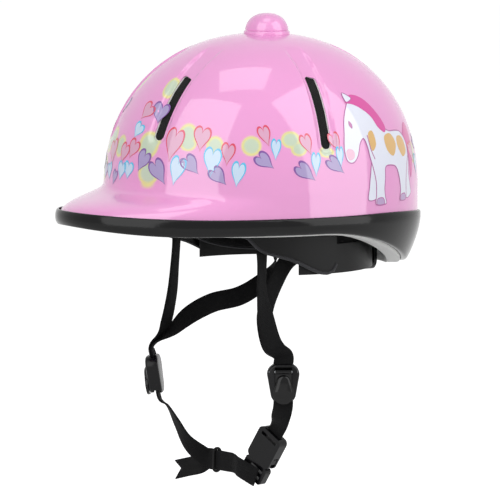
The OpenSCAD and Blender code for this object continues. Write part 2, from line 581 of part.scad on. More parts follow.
// Side-release buckle: the plug's two prongs spring out into the socket's side windows.
plug_base = 14.5;
socket_t = 8.6;
cavity_t = 5;
prong_x = 6.2;
prong_root = plug_base + 2.2;
module buckle_socket() color("#222222") at_buckle() difference() {
    translate([0, socket_t / 2, plug_base + 0.4 + (buckle_len - plug_base - 0.4) / 2])
        rotate([90, 0, 0]) rounded_plate(buckle_w, buckle_len - plug_base - 0.4, 4, socket_t);
    translate([-buckle_w / 2 + 2, -cavity_t / 2, plug_base]) cube([buckle_w - 4, cavity_t, 19]);
    translate([-buckle_w, -cavity_t / 2, plug_base]) cube([2 * buckle_w, cavity_t, 11.5]);
    translate([-webbing_w / 2 - 0.6, -socket_t, buckle_len - 5.5])
        cube([webbing_w + 1.2, 2 * socket_t, 2.5]);
    translate([-webbing_w / 2 - 0.6, -1.1, buckle_len - 4]) cube([webbing_w + 1.2, 2.2, 5]);
}
module buckle_plug() color("#262626") at_buckle() difference() {
    union() {
        translate([0, 3, plug_base / 2]) rotate([90, 0, 0]) rounded_plate(buckle_w - 1, plug_base,
            3, 6);
        translate([-1.6, -cavity_t / 2 + 0.4, plug_base - 1]) cube([3.2, cavity_t - 0.8, 15]);
        for (x = [-1, 1]) translate([x * prong_x, 0, prong_root]) rotate([90, 0, 0])
            translate([0, 0, -cavity_t / 2 + 0.4]) cylinder(h = 1, r = 2);
        for (x = [-1, 1]) translate([x * prong_x, 0, prong_root]) rotate([90, 0, 0])
            cylinder(h = 3.6, r = 1, center = true);
        for (x = [-1, 1]) translate([x * prong_x - 2, cavity_t / 2 - 1.4, plug_base - 1])
            cube([4, 1, 2.6]);
    }
    for (z = [3, 8.4]) translate([-webbing_w / 2 - 0.6, -5, z]) cube([webbing_w + 1.2, 10, 2.6]);
}
module prong(side) difference() {
    union() {
        translate([side * prong_x, -0.9, prong_root]) rotate([-90, 0, 0]) cylinder(h = 1.8, r = 1.9);
        translate([side * prong_x - 1.3, -0.9, prong_root]) cube([2.6, 1.8, 13]);
        rotate([90, 0, 0]) translate([0, 0, -1.9]) linear_extrude(3.8) polygon(
            [for (q = [[5, 19.6], [10.2, 19.2], [11.7, 20.6], [11.7, 24.8], [9.4, 26], [7.4, 29.4],
                [5, 29.4]]) [side * q[0], q[1]]]);
    }
    translate([side * prong_x, 0, prong_root]) rotate([90, 0, 0])
        cylinder(h = 12, r = 1 + run, center = true);
}
module plug_left_prong() color("#262626") at_buckle() prong(1);
module plug_right_prong() color("#262626") at_buckle() prong(-1);

ring_wire = 1.1;
ring_half = (tail_off + webbing_t) / 2 + 0.35;   // half the inside thickness of the ring
module keeper_ring() color("#0e0e0e") translate(ring_at + (beside([0, 0, 0]) / 2))
    aim(ring_run) rotate([0, 0, 90]) {
        straight = webbing_w - 1.4;
        for (s = [-1, 1]) {
            translate([0, s * straight / 2, 0]) rotate([0, 0, s > 0 ? 0 : 180])
                rotate_extrude(angle = 180) translate([ring_half + ring_wire, 0])
                    circle(r = ring_wire, $fn = 24);
            translate([s * (ring_half + ring_wire), straight / 2, 0]) rotate([90, 0, 0])
                cylinder(h = straight, r = ring_wire, $fn = 24);
        }
    }

outer_shell();
edge_trim();
foam_liner();
crown_button();
button_screw();
button_washer();
front_left_mesh();
front_right_mesh();
side_left_mesh();
side_right_mesh();
rear_left_mesh();
rear_right_mesh();
anchor_plates();
anchor_rivets();
brow_band();
band_pins();
left_belt();
right_belt();
dial_housing();
dial_cover();
dial_pinion();
dial_knob();
dial_screw();
brow_pad();
crown_pad();
left_side_pad();
right_side_pad();
nape_pad();
hook_dots();
left_front_strap();
left_rear_strap();
left_lower_strap();
right_front_strap();
right_rear_strap();
chin_strap();
strap_tail();
left_divider_body();
left_divider_lever();
left_divider_pin();
right_divider_body();
right_divider_lever();
right_divider_pin();
buckle_socket();
buckle_plug();
plug_left_prong();
plug_right_prong();
keeper_ring();
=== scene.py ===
# Child's riding helmet: the look of each piece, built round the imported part. Helper lengths are in
# millimetres until mesh_piece turns them into metres.
import math

import bmesh
import bpy
import numpy as np
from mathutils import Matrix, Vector, geometry


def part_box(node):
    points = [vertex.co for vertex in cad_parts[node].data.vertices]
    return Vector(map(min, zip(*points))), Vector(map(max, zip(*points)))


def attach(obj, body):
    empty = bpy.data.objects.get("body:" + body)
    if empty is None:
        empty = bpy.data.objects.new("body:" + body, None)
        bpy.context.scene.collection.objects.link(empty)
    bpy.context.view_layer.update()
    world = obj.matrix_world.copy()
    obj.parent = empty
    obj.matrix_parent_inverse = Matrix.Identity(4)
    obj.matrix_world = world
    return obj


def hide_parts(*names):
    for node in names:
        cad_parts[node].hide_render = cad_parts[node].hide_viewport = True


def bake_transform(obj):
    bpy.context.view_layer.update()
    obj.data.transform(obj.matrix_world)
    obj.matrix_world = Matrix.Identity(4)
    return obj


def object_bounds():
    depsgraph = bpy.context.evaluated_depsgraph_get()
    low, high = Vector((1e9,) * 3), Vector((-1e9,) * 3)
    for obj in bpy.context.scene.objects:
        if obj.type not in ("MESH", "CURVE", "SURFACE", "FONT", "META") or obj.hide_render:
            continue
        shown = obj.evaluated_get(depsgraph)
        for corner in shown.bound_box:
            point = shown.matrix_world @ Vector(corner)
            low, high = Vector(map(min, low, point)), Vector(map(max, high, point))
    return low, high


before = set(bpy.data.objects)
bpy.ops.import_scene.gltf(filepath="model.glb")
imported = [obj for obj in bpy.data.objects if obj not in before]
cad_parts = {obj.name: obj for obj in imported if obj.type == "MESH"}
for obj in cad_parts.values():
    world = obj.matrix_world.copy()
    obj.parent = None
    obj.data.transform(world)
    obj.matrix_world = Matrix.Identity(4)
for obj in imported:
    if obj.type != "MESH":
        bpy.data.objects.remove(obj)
packed_box = [list(corner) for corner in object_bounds()]

# ---- Camera, lights and floor ----
# The helmet is seen from its left front, a little above the level of the peak. A long lens from far
# off keeps its sides parallel.
view_azimuth, view_elevation = math.radians(60), math.radians(6)
away = Vector((math.sin(view_azimuth) * math.cos(view_elevation),
               -math.cos(view_azimuth) * math.cos(view_elevation), math.sin(view_elevation)))
aim = Vector((-0.0001, -0.0096, -0.0209))
camera = bpy.data.objects.new("camera", bpy.data.cameras.new("camera"))
camera.data.sensor_width = 36
camera.data.lens = 568
camera.data.clip_end = 60
camera.location = aim + away * 6
camera.rotation_euler = (-away).to_track_quat("-Z", "Y").to_euler()
bpy.context.scene.collection.objects.link(camera)
bpy.context.scene.camera = camera
bpy.context.scene.view_settings.view_transform = "Standard"


def linear(hex_colour):
    """A colour as it is written for a screen, turned to the linear values a shader works in."""
    parts = [int(hex_colour[i:i + 2], 16) / 255 for i in (1, 3, 5)]
    return (*[c / 12.92 if c <= 0.04045 else ((c + 0.055) / 1.055) ** 2.4 for c in parts], 1)


def add(tree, kind, settings=None, inputs=None):
    """Adds a node: its settings, then its inputs, each a plain value or another node's socket."""
    made = tree.nodes.new(kind)
    for key, value in (settings or {}).items():
        setattr(made, key, value)
    for key, value in (inputs or {}).items():
        if isinstance(value, bpy.types.NodeSocket):
            tree.links.new(value, made.inputs[key])
        else:
            made.inputs[key].default_value = value
    return made


def new_material(name):
    """An empty material and its node tree, with an output waiting for a shader."""
    made = bpy.data.materials.new(name)
    made.use_nodes = True
    made.node_tree.nodes.clear()
    return made, made.node_tree


def surface(tree, shader):
    """Puts a finished shader on the material's output."""
    add(tree, "ShaderNodeOutputMaterial", {}, {"Surface": shader.outputs[0]})


def softbox(name, azimuth, elevation, distance, width, height, watts):
    """A rectangular studio lamp facing the helmet, placed by the way it is seen from there."""
    a, e = math.radians(azimuth), math.radians(elevation)
    out = Vector((math.sin(a) * math.cos(e), -math.cos(a) * math.cos(e), math.sin(e)))
    lamp = bpy.data.lights.new(name, "AREA")
    lamp.shape = "RECTANGLE"
    lamp.size, lamp.size_y, lamp.energy = width, height, watts
    made = bpy.data.objects.new(name, lamp)
    made.location = out * distance
    made.rotation_euler = (-out).to_track_quat("-Z", "Y").to_euler()
    bpy.context.scene.collection.objects.link(made)


softbox("side_softbox", 126, 24, 1.5, 1.2, 2.2, 19)
softbox("front_softbox", 28, 26, 1.5, 1.2, 2.2, 19)
softbox("top_softbox", 60, 84, 1.6, 0.7, 0.7, 3)


def studio_seen(tree):
    """1 on rays that show the studio, to the eye, in a reflection or through a clear piece, else 0."""
    rays = add(tree, "ShaderNodeLightPath")
    through = add(tree, "ShaderNodeMath", {"operation": "MAXIMUM"},
                  {0: rays.outputs["Is Camera Ray"], 1: rays.outputs["Is Transmission Ray"]})
    seen = add(tree, "ShaderNodeMath", {"operation": "MAXIMUM"},
               {0: through.outputs[0], 1: rays.outputs["Is Glossy Ray"]})
    return seen.outputs[0]


# The studio is plain white where it is seen, and dimmer as light on the helmet.
world = bpy.data.worlds.new("studio")
bpy.context.scene.world = world
world.use_nodes = True
tree = world.node_tree
tree.nodes.clear()
strength = add(tree, "ShaderNodeMapRange", {}, {"Value": studio_seen(tree), "To Min": 0.15, "To Max": 1.0})
sky = add(tree, "ShaderNodeBackground", {}, {"Color": (1, 1, 1, 1), "Strength": strength.outputs[0]})
add(tree, "ShaderNodeOutputWorld", {}, {"Surface": sky.outputs[0]})


def mesh_piece(name, points, faces, material, smooth_angle=40):
    """A mesh from points in millimetres, shaded smooth up to an angle between its faces."""
    mesh = bpy.data.meshes.new(name)
    mesh.from_pydata([tuple(c / 1000 for c in p) for p in points], [], faces)
    mesh.validate()
    mesh.update()
    made = bpy.data.objects.new(name, mesh)
    bpy.context.scene.collection.objects.link(made)
    mesh.materials.append(material)
    mesh.polygons.foreach_set("use_smooth", [True] * len(mesh.polygons))
    if smooth_angle:
        mesh.set_sharp_from_angle(angle=math.radians(smooth_angle))
    return made


paper, tree = new_material("white_floor")
# Paper roll: white to the eye, and it takes the helmet's soft shadow.
matt = add(tree, "ShaderNodeBsdfDiffuse", {}, {"Color": linear("#c6c6c6")})
glow = add(tree, "ShaderNodeMath", {"operation": "MULTIPLY"}, {0: studio_seen(tree), 1: 0.93})
lit = add(tree, "ShaderNodeEmission", {}, {"Color": (1, 1, 1, 1), "Strength": glow.outputs[0]})
both = add(tree, "ShaderNodeAddShader", {}, {0: matt.outputs[0], 1: lit.outputs[0]})
# From below it is clear, so that the helmet's underside can be looked at.
under = add(tree, "ShaderNodeNewGeometry")
clear = add(tree, "ShaderNodeBsdfTransparent")
surface(tree, add(tree, "ShaderNodeMixShader", {},
                  {0: under.outputs["Backfacing"], 1: both.outputs[0], 2: clear.outputs[0]}))
floor_level = packed_box[0][2] * 1000 - 2
floor = mesh_piece("floor", [(-9000, -9000, floor_level), (9000, -9000, floor_level),
                             (9000, 9000, floor_level), (-9000, 9000, floor_level)], [(0, 1, 2, 3)], paper)

# ---- Shell ----
# Injection-moulded ABS, 2.5 mm thick, printed and then lacquered. It is a dome that flares out into
# the peak, with six vent slots, each in a shallow groove that runs up towards the button.


def packed(node):
    """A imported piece's lowest and highest corners at rest, to a tenth of a millimetre."""
    return [[round(c * 1000, 1) for c in corner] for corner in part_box(node)]


shell_low, shell_high = packed("outer_shell")
half_width = shell_high[0]
half_length = shell_high[1]
peak_reach = -shell_low[1] - half_length
crown_level = shell_high[2]
nape_fall = -packed("edge_trim")[0][2]
# The widest plane's height, the dome's height above it, the power of its outline, and the shell's wall.
widest = 24.5
dome_h = 120.0
roundness = 2.2
wall = 2.5
# The dome turns into the flare of the brim this far above the widest plane.
brim_rise = 8.0
# Slots are 9 mm wide, round below and with tighter corners above, in grooves 12 mm wide at the bottom.
vent_half = 4.5
vent_corner = 2.6
groove_depth = 2.1
groove_half = 6.0
groove_shoulder = 8.4


# In what follows, p is an azimuth in degrees, 0 at the peak and 90 at the wearer's left, h is a height
# above the widest plane, and inset is a depth inside the shell's outer skin.
def smooth(lo, hi, x):
    """0 to 1 with soft ends, as x goes from lo to hi."""
    t = np.clip((x - lo) / (hi - lo), 0, 1)
    return t * t * (3 - 2 * t)


def off_front(p):
    """How far round from the peak, 0 to 180 degrees on either side."""
    return np.abs((p + 180) % 360 - 180)


def peak_push(p):
    """How far the peak stands out from the dome."""
    return peak_reach * np.maximum(0, np.cos(np.radians(np.minimum(90, 1.25 * off_front(p)))))


def trim_top(p):
    """The trim's upper edge, which falls 4 mm from the peak to the sides and 7 mm more to the nape."""
    return widest - 8.4 - 4 * smooth(0, 65, off_front(p)) - 7 * smooth(110, 180, off_front(p))


def trim_bottom(p):
    """The trim's lower edge, 5.5 mm up at the peak and falling to the nape guard."""
    return 5.5 * (1 - smooth(0, 50, off_front(p))) - nape_fall * smooth(88, 166, off_front(p))


def shell_edge(p):
    """The shell's own edge, 4 mm down inside the trim."""
    return trim_top(p) - 4


def tuck(z):
    """How far the nape guard curls in at a height."""
    return 12 * (np.maximum(0, 7.5 - z) / 40) ** 1.5


def ring(p, x, y, z):
    """Points of one ring: x to the left, y to the back and z up at each azimuth."""
    return np.stack([x + 0 * p, y + 0 * p, z + 0 * p], axis=1)


def dome_ring(p, inset, share):
    """One ring of the dome, at a share of its greatest radius."""
    rise = (1 - share ** roundness) ** (1 / roundness)
    return ring(p, (half_width - inset) * share * np.sin(np.radians(p)),
                -(half_length - inset) * share * np.cos(np.radians(p)), widest + (dome_h - inset) * rise)


def flare_ring(p, inset, u):
    """One ring of the brim, u of the way from the dome down to the edge."""
    push = peak_push(p)
    brim = widest - inset * push / peak_reach
    out = push * (3 * 0.95 * u * u * (1 - u) + u ** 3)
    z = ((widest + brim_rise) * (1 - u) ** 3 + 3 * brim * u * (1 - u) ** 2 + 3 * brim * u * u * (1 - u)
         + (shell_edge(p) - inset * push / peak_reach) * u ** 3)
    d = inset + tuck(z)
    y = -(half_length - d) * np.cos(np.radians(p)) - out
    return ring(p, (half_width - d) * np.sin(np.radians(p)), y, z)


def grid_faces(rows, columns, flip=False):
    """Faces between neighbouring closed rings."""
    made = []
    for j in range(rows - 1):
        for i in range(columns):
            k = (i + 1) % columns
            face = (j * columns + i, j * columns + k, (j + 1) * columns + k, (j + 1) * columns + i)
            made.append(face[::-1] if flip else face)
    return made


def capped_faces(rows, columns):
    """Faces of a closed piece made of rings, with its first and last ring filled in."""
    made = grid_faces(rows, columns, flip=True)
    made.append(tuple(range(columns)))
    made.append(tuple((rows - 1) * columns + i for i in reversed(range(columns))))
    return made


def on_dome(p, h):
    """A point on the dome's outer skin."""
    share = (1 - (h / dome_h) ** roundness) ** (1 / roundness)
    return np.array([half_width * share * math.sin(math.radians(p)),
                     -half_length * share * math.cos(math.radians(p)), widest + h])


# Each slot's upper and lower end, as azimuth and height: front, side and rear, on both sides.
vents = [((side * top[0], top[1]), (side * low[0], low[1]))
         for top, low in [((22, 93), (20.5, 46.5)), ((91.5, 92.5), (90.5, 39.5)), ((158, 93), (159.5, 46.5))]
         for side in (1, -1)]
groove_lines = []
for (top_p, top_h), (low_p, low_h) in vents:
    lean = (top_p - low_p) / (top_h - low_h)
    heights = np.linspace(low_h + 3, 113, 14)
    groove_lines.append(np.array([on_dome(low_p + (h - low_h) * lean, h) for h in heights]))


def line_distance(points, line):
    """Distance from each point to a line of short straight parts, and how far along it that is."""
    best = np.full(len(points), 1e9)
    along = np.zeros(len(points))
    for i in range(len(line) - 1):
        step = line[i + 1] - line[i]
        t = np.clip(((points - line[i]) @ step) / (step @ step), 0, 1)
        d = np.linalg.norm(points - (line[i] + t[:, None] * step), axis=1)
        nearer = d < best
        best[nearer] = d[nearer]
        along[nearer] = ((i + t) / (len(line) - 1))[nearer]
    return best, along


def outward(points):
    """The dome's normal at points on it."""
    n = points - np.array([0, 0, widest])
    n = n / np.array([half_width ** 2, half_length ** 2, dome_h ** 2])
    return n / np.linalg.norm(n, axis=1)[:, None]


def grooved(points):
    """Sinks points of the outer skin into the grooves round the vents."""
    depth = np.zeros(len(points))
    for line in groove_lines:
        d, along = line_distance(points, line)
        sunk = groove_depth * (1 - smooth(groove_half, groove_shoulder, d)) * (1 - smooth(0.86, 1.0, along))
        depth = np.maximum(depth, sunk)
    return points - outward(points) * depth[:, None]


around = np.arange(0, 360, 0.9)
shares = np.sin(np.radians(np.linspace(1.5, 90, 96))) ** (2 / roundness)
low_share = (1 - (brim_rise / dome_h) ** roundness) ** (1 / roundness)
shares = [s for s in shares if s < low_share - 0.002] + [low_share]
flares = np.linspace(0, 1, 17)[1:]
outer = [grooved(dome_ring(around, 0, s)) for s in shares] + [flare_ring(around, 0, u) for u in flares]
inner = [flare_ring(around, wall, u) for u in flares[::-1]]
inner += [dome_ring(around, wall, s) for s in shares[::-1]]
rings = outer + inner

printed, tree = new_material("printed_abs")
# Glossy ABS under clear lacquer: the pink is moulded in, and the print's soft haloes fade into it.
# The lacquer gives sharp studio reflections and a faint orange-peel swirl 4 mm across.
halo = add(tree, "ShaderNodeAttribute", {"attribute_name": "halo"})
core = add(tree, "ShaderNodeMapRange", {"interpolation_type": "SMOOTHSTEP"},
           {"Value": halo.outputs["Fac"], "From Min": 0.35, "From Max": 0.8})
tint = add(tree, "ShaderNodeMix", {"data_type": "RGBA"},
           {0: core.outputs[0], "A": linear("#dfe673"), "B": linear("#b4dcb0")})
edge = add(tree, "ShaderNodeMapRange", {"interpolation_type": "SMOOTHSTEP"},
           {"Value": halo.outputs["Fac"], "From Min": 0.04, "From Max": 0.34, "To Max": 0.78})
pink = add(tree, "ShaderNodeMix", {"data_type": "RGBA"},
           {0: edge.outputs[0], "A": linear("#e79ad0"), "B": tint.outputs["Result"]})
swirl = add(tree, "ShaderNodeTexNoise", {}, {"Scale": 1000 / 4, "Detail": 1.0})
peel = add(tree, "ShaderNodeBump", {},
           {"Strength": 0.012, "Distance": 0.001, "Height": swirl.outputs["Fac"]})
lacquer = add(tree, "ShaderNodeBsdfPrincipled", {}, {
    "Base Color": pink.outputs["Result"], "Roughness": 0.4, "IOR": 1.54, "Specular IOR Level": 0.15,
    "Coat Weight": 1.0, "Coat Roughness": 0.02, "Coat IOR": 1.6, "Coat Normal": peel.outputs[0],
    "Subsurface Weight": 0.06, "Subsurface Radius": (0.004, 0.002, 0.003), "Subsurface Scale": 0.4})
surface(tree, lacquer)


def cut_by(piece, cutter):
    """Cuts one mesh out of another and throws the cutter away."""
    cut = piece.modifiers.new("cut", "BOOLEAN")
    cut.object = cutter
    cut.solver = "EXACT"
    done = bpy.data.meshes.new_from_object(piece.evaluated_get(bpy.context.evaluated_depsgraph_get()))
    piece.modifiers.clear()
    old = piece.data
    piece.data = done
    bpy.data.meshes.remove(old)
    bpy.data.objects.remove(cutter)


def face_outward(piece, join=False):
    """Turns a closed piece's faces outward, and first joins points that lie on each other if asked to."""
    work = bmesh.new()
    work.from_mesh(piece.data)
    if join:
        bmesh.ops.remove_doubles(work, verts=work.verts, dist=1e-6)
    bmesh.ops.recalc_face_normals(work, faces=work.faces)
    work.to_mesh(piece.data)
    work.free()


def vent_cutter(grow):
    """Round-ended prisms through all six slots."""
    made, sides = [], []
    for (top_p, top_h), (low_p, low_h) in vents:
        top, low = on_dome(top_p, top_h), on_dome(low_p, low_h)
        along = (top - low) / np.linalg.norm(top - low)
        middle = on_dome((top_p + low_p) / 2, (top_h + low_h) / 2)
        out = outward(middle[None])[0]
        along = along - out * (along @ out)
        along = along / np.linalg.norm(along)
        across = np.cross(out, along)
        half = (top - low) @ along / 2
        centre = (top + low) / 2
        r = vent_half + grow
        corner = vent_corner + grow
        arcs = [(0, vent_half - half, r, 180, 360), (r - corner, half - corner, corner, 0, 90),
                (corner - r, half - corner - 1.5, corner, 90, 180)]
        outline = [(x + radius * math.cos(math.radians(a)), y + radius * math.sin(math.radians(a)))
                   for x, y, radius, start, end in arcs for a in range(start, end + 1, 15)]
        first = len(made)
        n = len(outline)
        for depth in (26, -26):
            made += [centre + across * x + along * y + out * depth for x, y in outline]
        sides += [(first + i, first + (i + 1) % n, first + n + (i + 1) % n, first + n + i) for i in range(n)]
        sides += [tuple(first + i for i in reversed(range(n))), tuple(first + n + i for i in range(n))]
    cutter = mesh_piece("cutter", made, sides, printed, 0)
    face_outward(cutter)
    return cutter


shell = mesh_piece("shell_skin", np.concatenate(rings), capped_faces(len(rings), len(around)), printed, 0)
cut_by(shell, vent_cutter(0))
shell.data.set_sharp_from_angle(angle=math.radians(38))
# The haloes of the print: azimuth, height above the widest plane, half width and half height.
haloes = [(16, 84, 5, 9), (17, 42, 9, 10), (19, 21, 9, 8), (-2, 39, 6, 8), (-12, 44, 6, 8), (35, 50, 7, 9),
          (36, 44, 6, 5), (47, 43, 6, 7), (61, 43, 7, 7), (76, 47, 7, 6), (79, 40, 6, 5), (90, 37, 6, 4),
          (142, 30, 7, 8), (166, 36, 7, 8)]
haloes += [(-p, h, w, t) for p, h, w, t in haloes if p > 10]
co = np.zeros(len(shell.data.vertices) * 3)
shell.data.vertices.foreach_get("co", co)
co = co.reshape(-1, 3) * 1000
glow = np.zeros(len(co))
for p, h, w, t in haloes:
    centre = on_dome(p, h)
    out = outward(centre[None])[0]
    across = np.array([math.cos(math.radians(p)), math.sin(math.radians(p)), 0])
    across = across - out * (across @ out)
    across = across / np.linalg.norm(across)
    rise = np.cross(out, across)
    rise = rise if rise[2] > 0 else -rise
    rel = co - centre
    d = np.hypot(rel @ across / w, rel @ rise / t)
    glow = np.maximum(glow, (1 - smooth(0.35, 1.35, d)) * (rel @ out > -12))
attribute = shell.data.attributes.new("halo", "FLOAT", "POINT")
attribute.data.foreach_set("value", glow.astype(np.float32))
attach(shell, "helmet")
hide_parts("outer_shell")

# ---- Print on the shell ----
# Screen-printed film under the lacquer: a band of small hearts in three colours, and a pony on each
# side behind the side vent. It is drawn a few tenths of a millimetre proud, which is thicker than real
# ink, and it follows the grooves.


def ink(name, colour):
    """Screen ink under lacquer: the shell's gloss over its own flat colour."""
    made, tree = new_material(name)
    surface(tree, add(tree, "ShaderNodeBsdfPrincipled", {}, {
        "Base Color": linear(colour), "Roughness": 0.4, "IOR": 1.5, "Specular IOR Level": 0.15,
        "Coat Weight": 1.0, "Coat Roughness": 0.02, "Coat IOR": 1.6}))
    return made


def on_shell(p, h, local, lift):
    """Lays flat artwork on the dome: local is millimetres across and up from a place on it."""
    local = np.asarray(local, float)
    centre = on_dome(abs(p), h)
    out = outward(centre[None])[0]
    rise = np.array([0, 0, 1.0]) - out * out[2]
    rise = rise / np.linalg.norm(rise)
    across = np.cross(rise, out)
    flat = centre + local[:, :1] * across + local[:, 1:] * rise
    rel = flat - np.array([0, 0, widest])
    size = np.hypot(rel[:, 0] / half_width, rel[:, 1] / half_length) ** roundness
    size = (size + np.abs(rel[:, 2] / dome_h) ** roundness) ** (1 / roundness)
    laid = rel / size[:, None] + np.array([0, 0, widest])
    laid = grooved(laid) + outward(laid) * lift
    if p < 0:
        laid[:, 0] *= -1
    return laid


class Artwork:
    """Gathers printed shapes of one ink and makes one thin piece of them."""

    def __init__(self, name, colour):
        self.name, self.material, self.points, self.faces = name, ink(name, colour), [], []

    def lay(self, p, h, local, faces, lift):
        first = len(self.points)
        self.points += list(on_shell(p, h, local, lift))
        self.faces += [tuple(first + i for i in (f[::-1] if p < 0 else f)) for f in faces]

    def finish(self):
        made = mesh_piece(self.name, self.points, self.faces, self.material, 0)
        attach(made, "helmet")


# The heart curve, brought to a width and a height of 1.
t = np.radians(np.arange(0, 360, 9))
heart_x = 16 * np.sin(t) ** 3
heart_y = 13 * np.cos(t) - 5 * np.cos(2 * t) - 2 * np.cos(3 * t) - np.cos(4 * t)
heart = (np.stack([heart_x, heart_y], 1) - [0, -2.5]) / [32, 29]


def turn(local, degrees):
    """Flat artwork turned about its middle."""
    c, s = math.cos(math.radians(degrees)), math.sin(math.radians(degrees))
    return local @ np.array([[c, s], [-s, c]])


def print_heart(p, h, width, height, tilt, fill, line):
    """One heart: its fill as nested rings, and a line that thins towards the point."""
    shape = heart * [width, height]
    shape[:, 0] += 0.12 * width * (0.5 - heart[:, 1]) ** 2
    thick = 0.35 + 1.25 * np.clip(heart[:, 1] + 0.5, 0, 1) ** 1.3
    inward = shape * (1 - thick / np.maximum(np.linalg.norm(shape, axis=1), 2.5))[:, None]
    n = len(shape)
    rings = [turn(inward * share, tilt) for share in (0.08, 0.36, 0.68, 1.0)]
    faces = [tuple(reversed(range(n)))] + grid_faces(4, n)
    fill.lay(p, h, np.concatenate(rings), faces, 0.16)
    line.lay(p, h, np.concatenate([turn(inward * 0.99, tilt), turn(shape, tilt)]), grid_faces(2, n), 0.19)


red, rose = Artwork("print_red", "#d8405e"), Artwork("print_rose", "#d79fbd")
blue, ice = Artwork("print_blue", "#58bde6"), Artwork("print_ice", "#c3d9ee")
violet, lilac = Artwork("print_violet", "#7a4a9c"), Artwork("print_lilac", "#a595c4")
# Azimuth, height, width, height and lean of each heart.
red_hearts = [(9, 66, 15, 15, -35), (-8, 34, 14, 20, -20), (2, 34, 12, 17, -20), (8, 38, 13, 16, -25),
              (29, 43, 15, 27, -15), (41, 48, 14, 20, -12), (52, 37, 11, 18, -12), (66, 50, 10, 17, 12),
              (82, 43, 10, 17, 12), (94, 44, 9, 16, 12), (140, 30, 11, 17, 10), (157, 29, 10, 18, -10),
              (172, 36, 10, 18, 10)]
blue_hearts = [(8, 52, 12, 13, -28), (-9, 19, 10, 14, -15), (2, 21, 11, 15, -15), (7, 22, 12, 14, -10),
               (32, 24, 13, 23, -18), (46, 31, 14, 23, -12), (56, 22, 11, 20, -14), (70, 40, 8, 17, -10),
               (85, 28, 8, 19, -6), (95, 32, 7, 18, -4), (145, 20, 9, 17, -8), (163, 20, 9, 17, -12),
               (176, 20, 8, 16, -6)]
violet_hearts = [(17, 66, 15, 18, -6), (-3, 15, 8, 13, 15), (-15, 18, 10, 14, 10), (15, 30, 13, 18, -30),
                 (24, 22, 14, 22, 28), (38, 28, 13, 18, 36), (49, 20, 12, 17, 36), (66, 31, 12, 17, 45),
                 (81, 22, 12, 20, 45), (93, 26, 11, 19, 45), (151, 34, 11, 17, 40), (169, 22, 11, 17, 40)]
for hearts, fill, line in ((red_hearts, rose, red), (blue_hearts, ice, blue), (violet_hearts, lilac, violet)):
    for p, h, w, t, lean in hearts:
        print_heart(p, h, w, t, lean, fill, line)
        if abs(p) > 16:
            print_heart(-p, h, w, t, lean, fill, line)


def rounded_path(corners, steps=6, closed=True):
    """A smooth line through some corners."""
    made, n = [], len(corners)
    c = [np.array(x, float) for x in corners]
    for i in range(n if closed else n - 1):
        a, b = (c[(i - 1) % n], c[i]) if closed else (c[max(0, i - 1)], c[i])
        d, e = (c[(i + 1) % n], c[(i + 2) % n]) if closed else (c[i + 1], c[min(n - 1, i + 2)])
        for j in range(steps):
            s = j / steps
            made.append(0.5 * (2 * b + (d - a) * s + (2 * a - 5 * b + 4 * d - e) * s * s
                               + (3 * b - a - 3 * d + e) * s ** 3))
    return np.array(made if closed else made + [c[-1]])


# The pony stands behind the side vent. Its outlines are drawn a little small and scaled up.
pony_at, pony_size = (118, 39), 1.14


def print_shape(p, h, corners, fill, lift, line=None, line_w=0.8, steps=5):
    """A filled shape inside a smooth outline, with an outline of its own if it has one."""
    corners = [(x * pony_size, y * pony_size) for x, y in corners]
    edge = rounded_path(corners, steps)
    grid = [(x, y) for x in np.arange(edge[:, 0].min(), edge[:, 0].max(), 3.0)
            for y in np.arange(edge[:, 1].min(), edge[:, 1].max(), 3.0)]
    n = len(edge)
    flat = [Vector(q) for q in edge] + [Vector(q) for q in grid]
    verts, _, tris, *_ = geometry.delaunay_2d_cdt(flat, [(i, (i + 1) % n) for i in range(n)],
                                                  [list(range(n))], 1, 1e-4)
    upward = [(verts[b] - verts[a]).cross(verts[c] - verts[a]) > 0 for a, b, c in tris]
    tris = [tri if up else tri[::-1] for tri, up in zip(tris, upward)]
    fill.lay(p, h, [tuple(v) for v in verts], tris, lift)
    if line:
        print_line(p, h, corners, line, lift + 0.03, line_w, True, steps)


def print_line(p, h, corners, line, lift, line_w=0.8, closed=False, steps=5):
    """A printed line of even width."""
    edge = rounded_path(corners, steps, closed)
    step = (np.roll(edge, -1, 0) - np.roll(edge, 1, 0)) if closed else np.gradient(edge, axis=0)
    side = np.stack([-step[:, 1], step[:, 0]], 1)
    side = side / np.maximum(np.linalg.norm(side, axis=1), 1e-6)[:, None] * line_w / 2
    n = len(edge)
    faces = [(i, (i + 1) % n, n + (i + 1) % n, n + i) for i in range(n if closed else n - 1)]
    line.lay(p, h, np.concatenate([edge - side, edge + side]), faces, lift)


coat, outline = Artwork("print_white", "#e3e6f4"), Artwork("print_outline", "#b25f9d")
mane, ochre = Artwork("print_mane", "#d6429c"), Artwork("print_ochre", "#dcb06a")
muzzle, hoof = Artwork("print_muzzle", "#e7b6cf"), Artwork("print_hoof", "#b79ac6")
far_legs = [[(-13, -6), (-4, -8), (-7, -20), (-12, -28), (-11, -36), (-20, -37), (-19, -28), (-17, -18)],
            [(25, -4), (33, -8), (32, -20), (35, -29), (38, -36), (29, -39), (27, -29), (23, -18)]]
body = [(-20, 36), (-16, 31), (-9, 27), (-3, 20), (2, 13), (9, 9), (18, 9), (26, 8), (32, 2), (33, -7),
        (29, -15), (27, -24), (27, -32), (28, -39), (18, -40), (18, -33), (16, -24), (12, -16), (5, -14),
        (-1, -15), (-2, -22), (-3, -30), (-2, -36), (-1, -41), (-12, -41), (-12, -34), (-12, -25), (-14, -15),
        (-16, -7), (-17, 1), (-19, 6), (-23, 3), (-27, -5), (-32, -9), (-37, -7), (-38, 1), (-35, 12),
        (-32, 21), (-27, 29)]
mane_lock = [(-25, 34), (-18, 39), (-8, 35), (0, 25), (6, 13), (4, 8), (-2, 12), (-6, 20), (-13, 27),
             (-19, 31)]
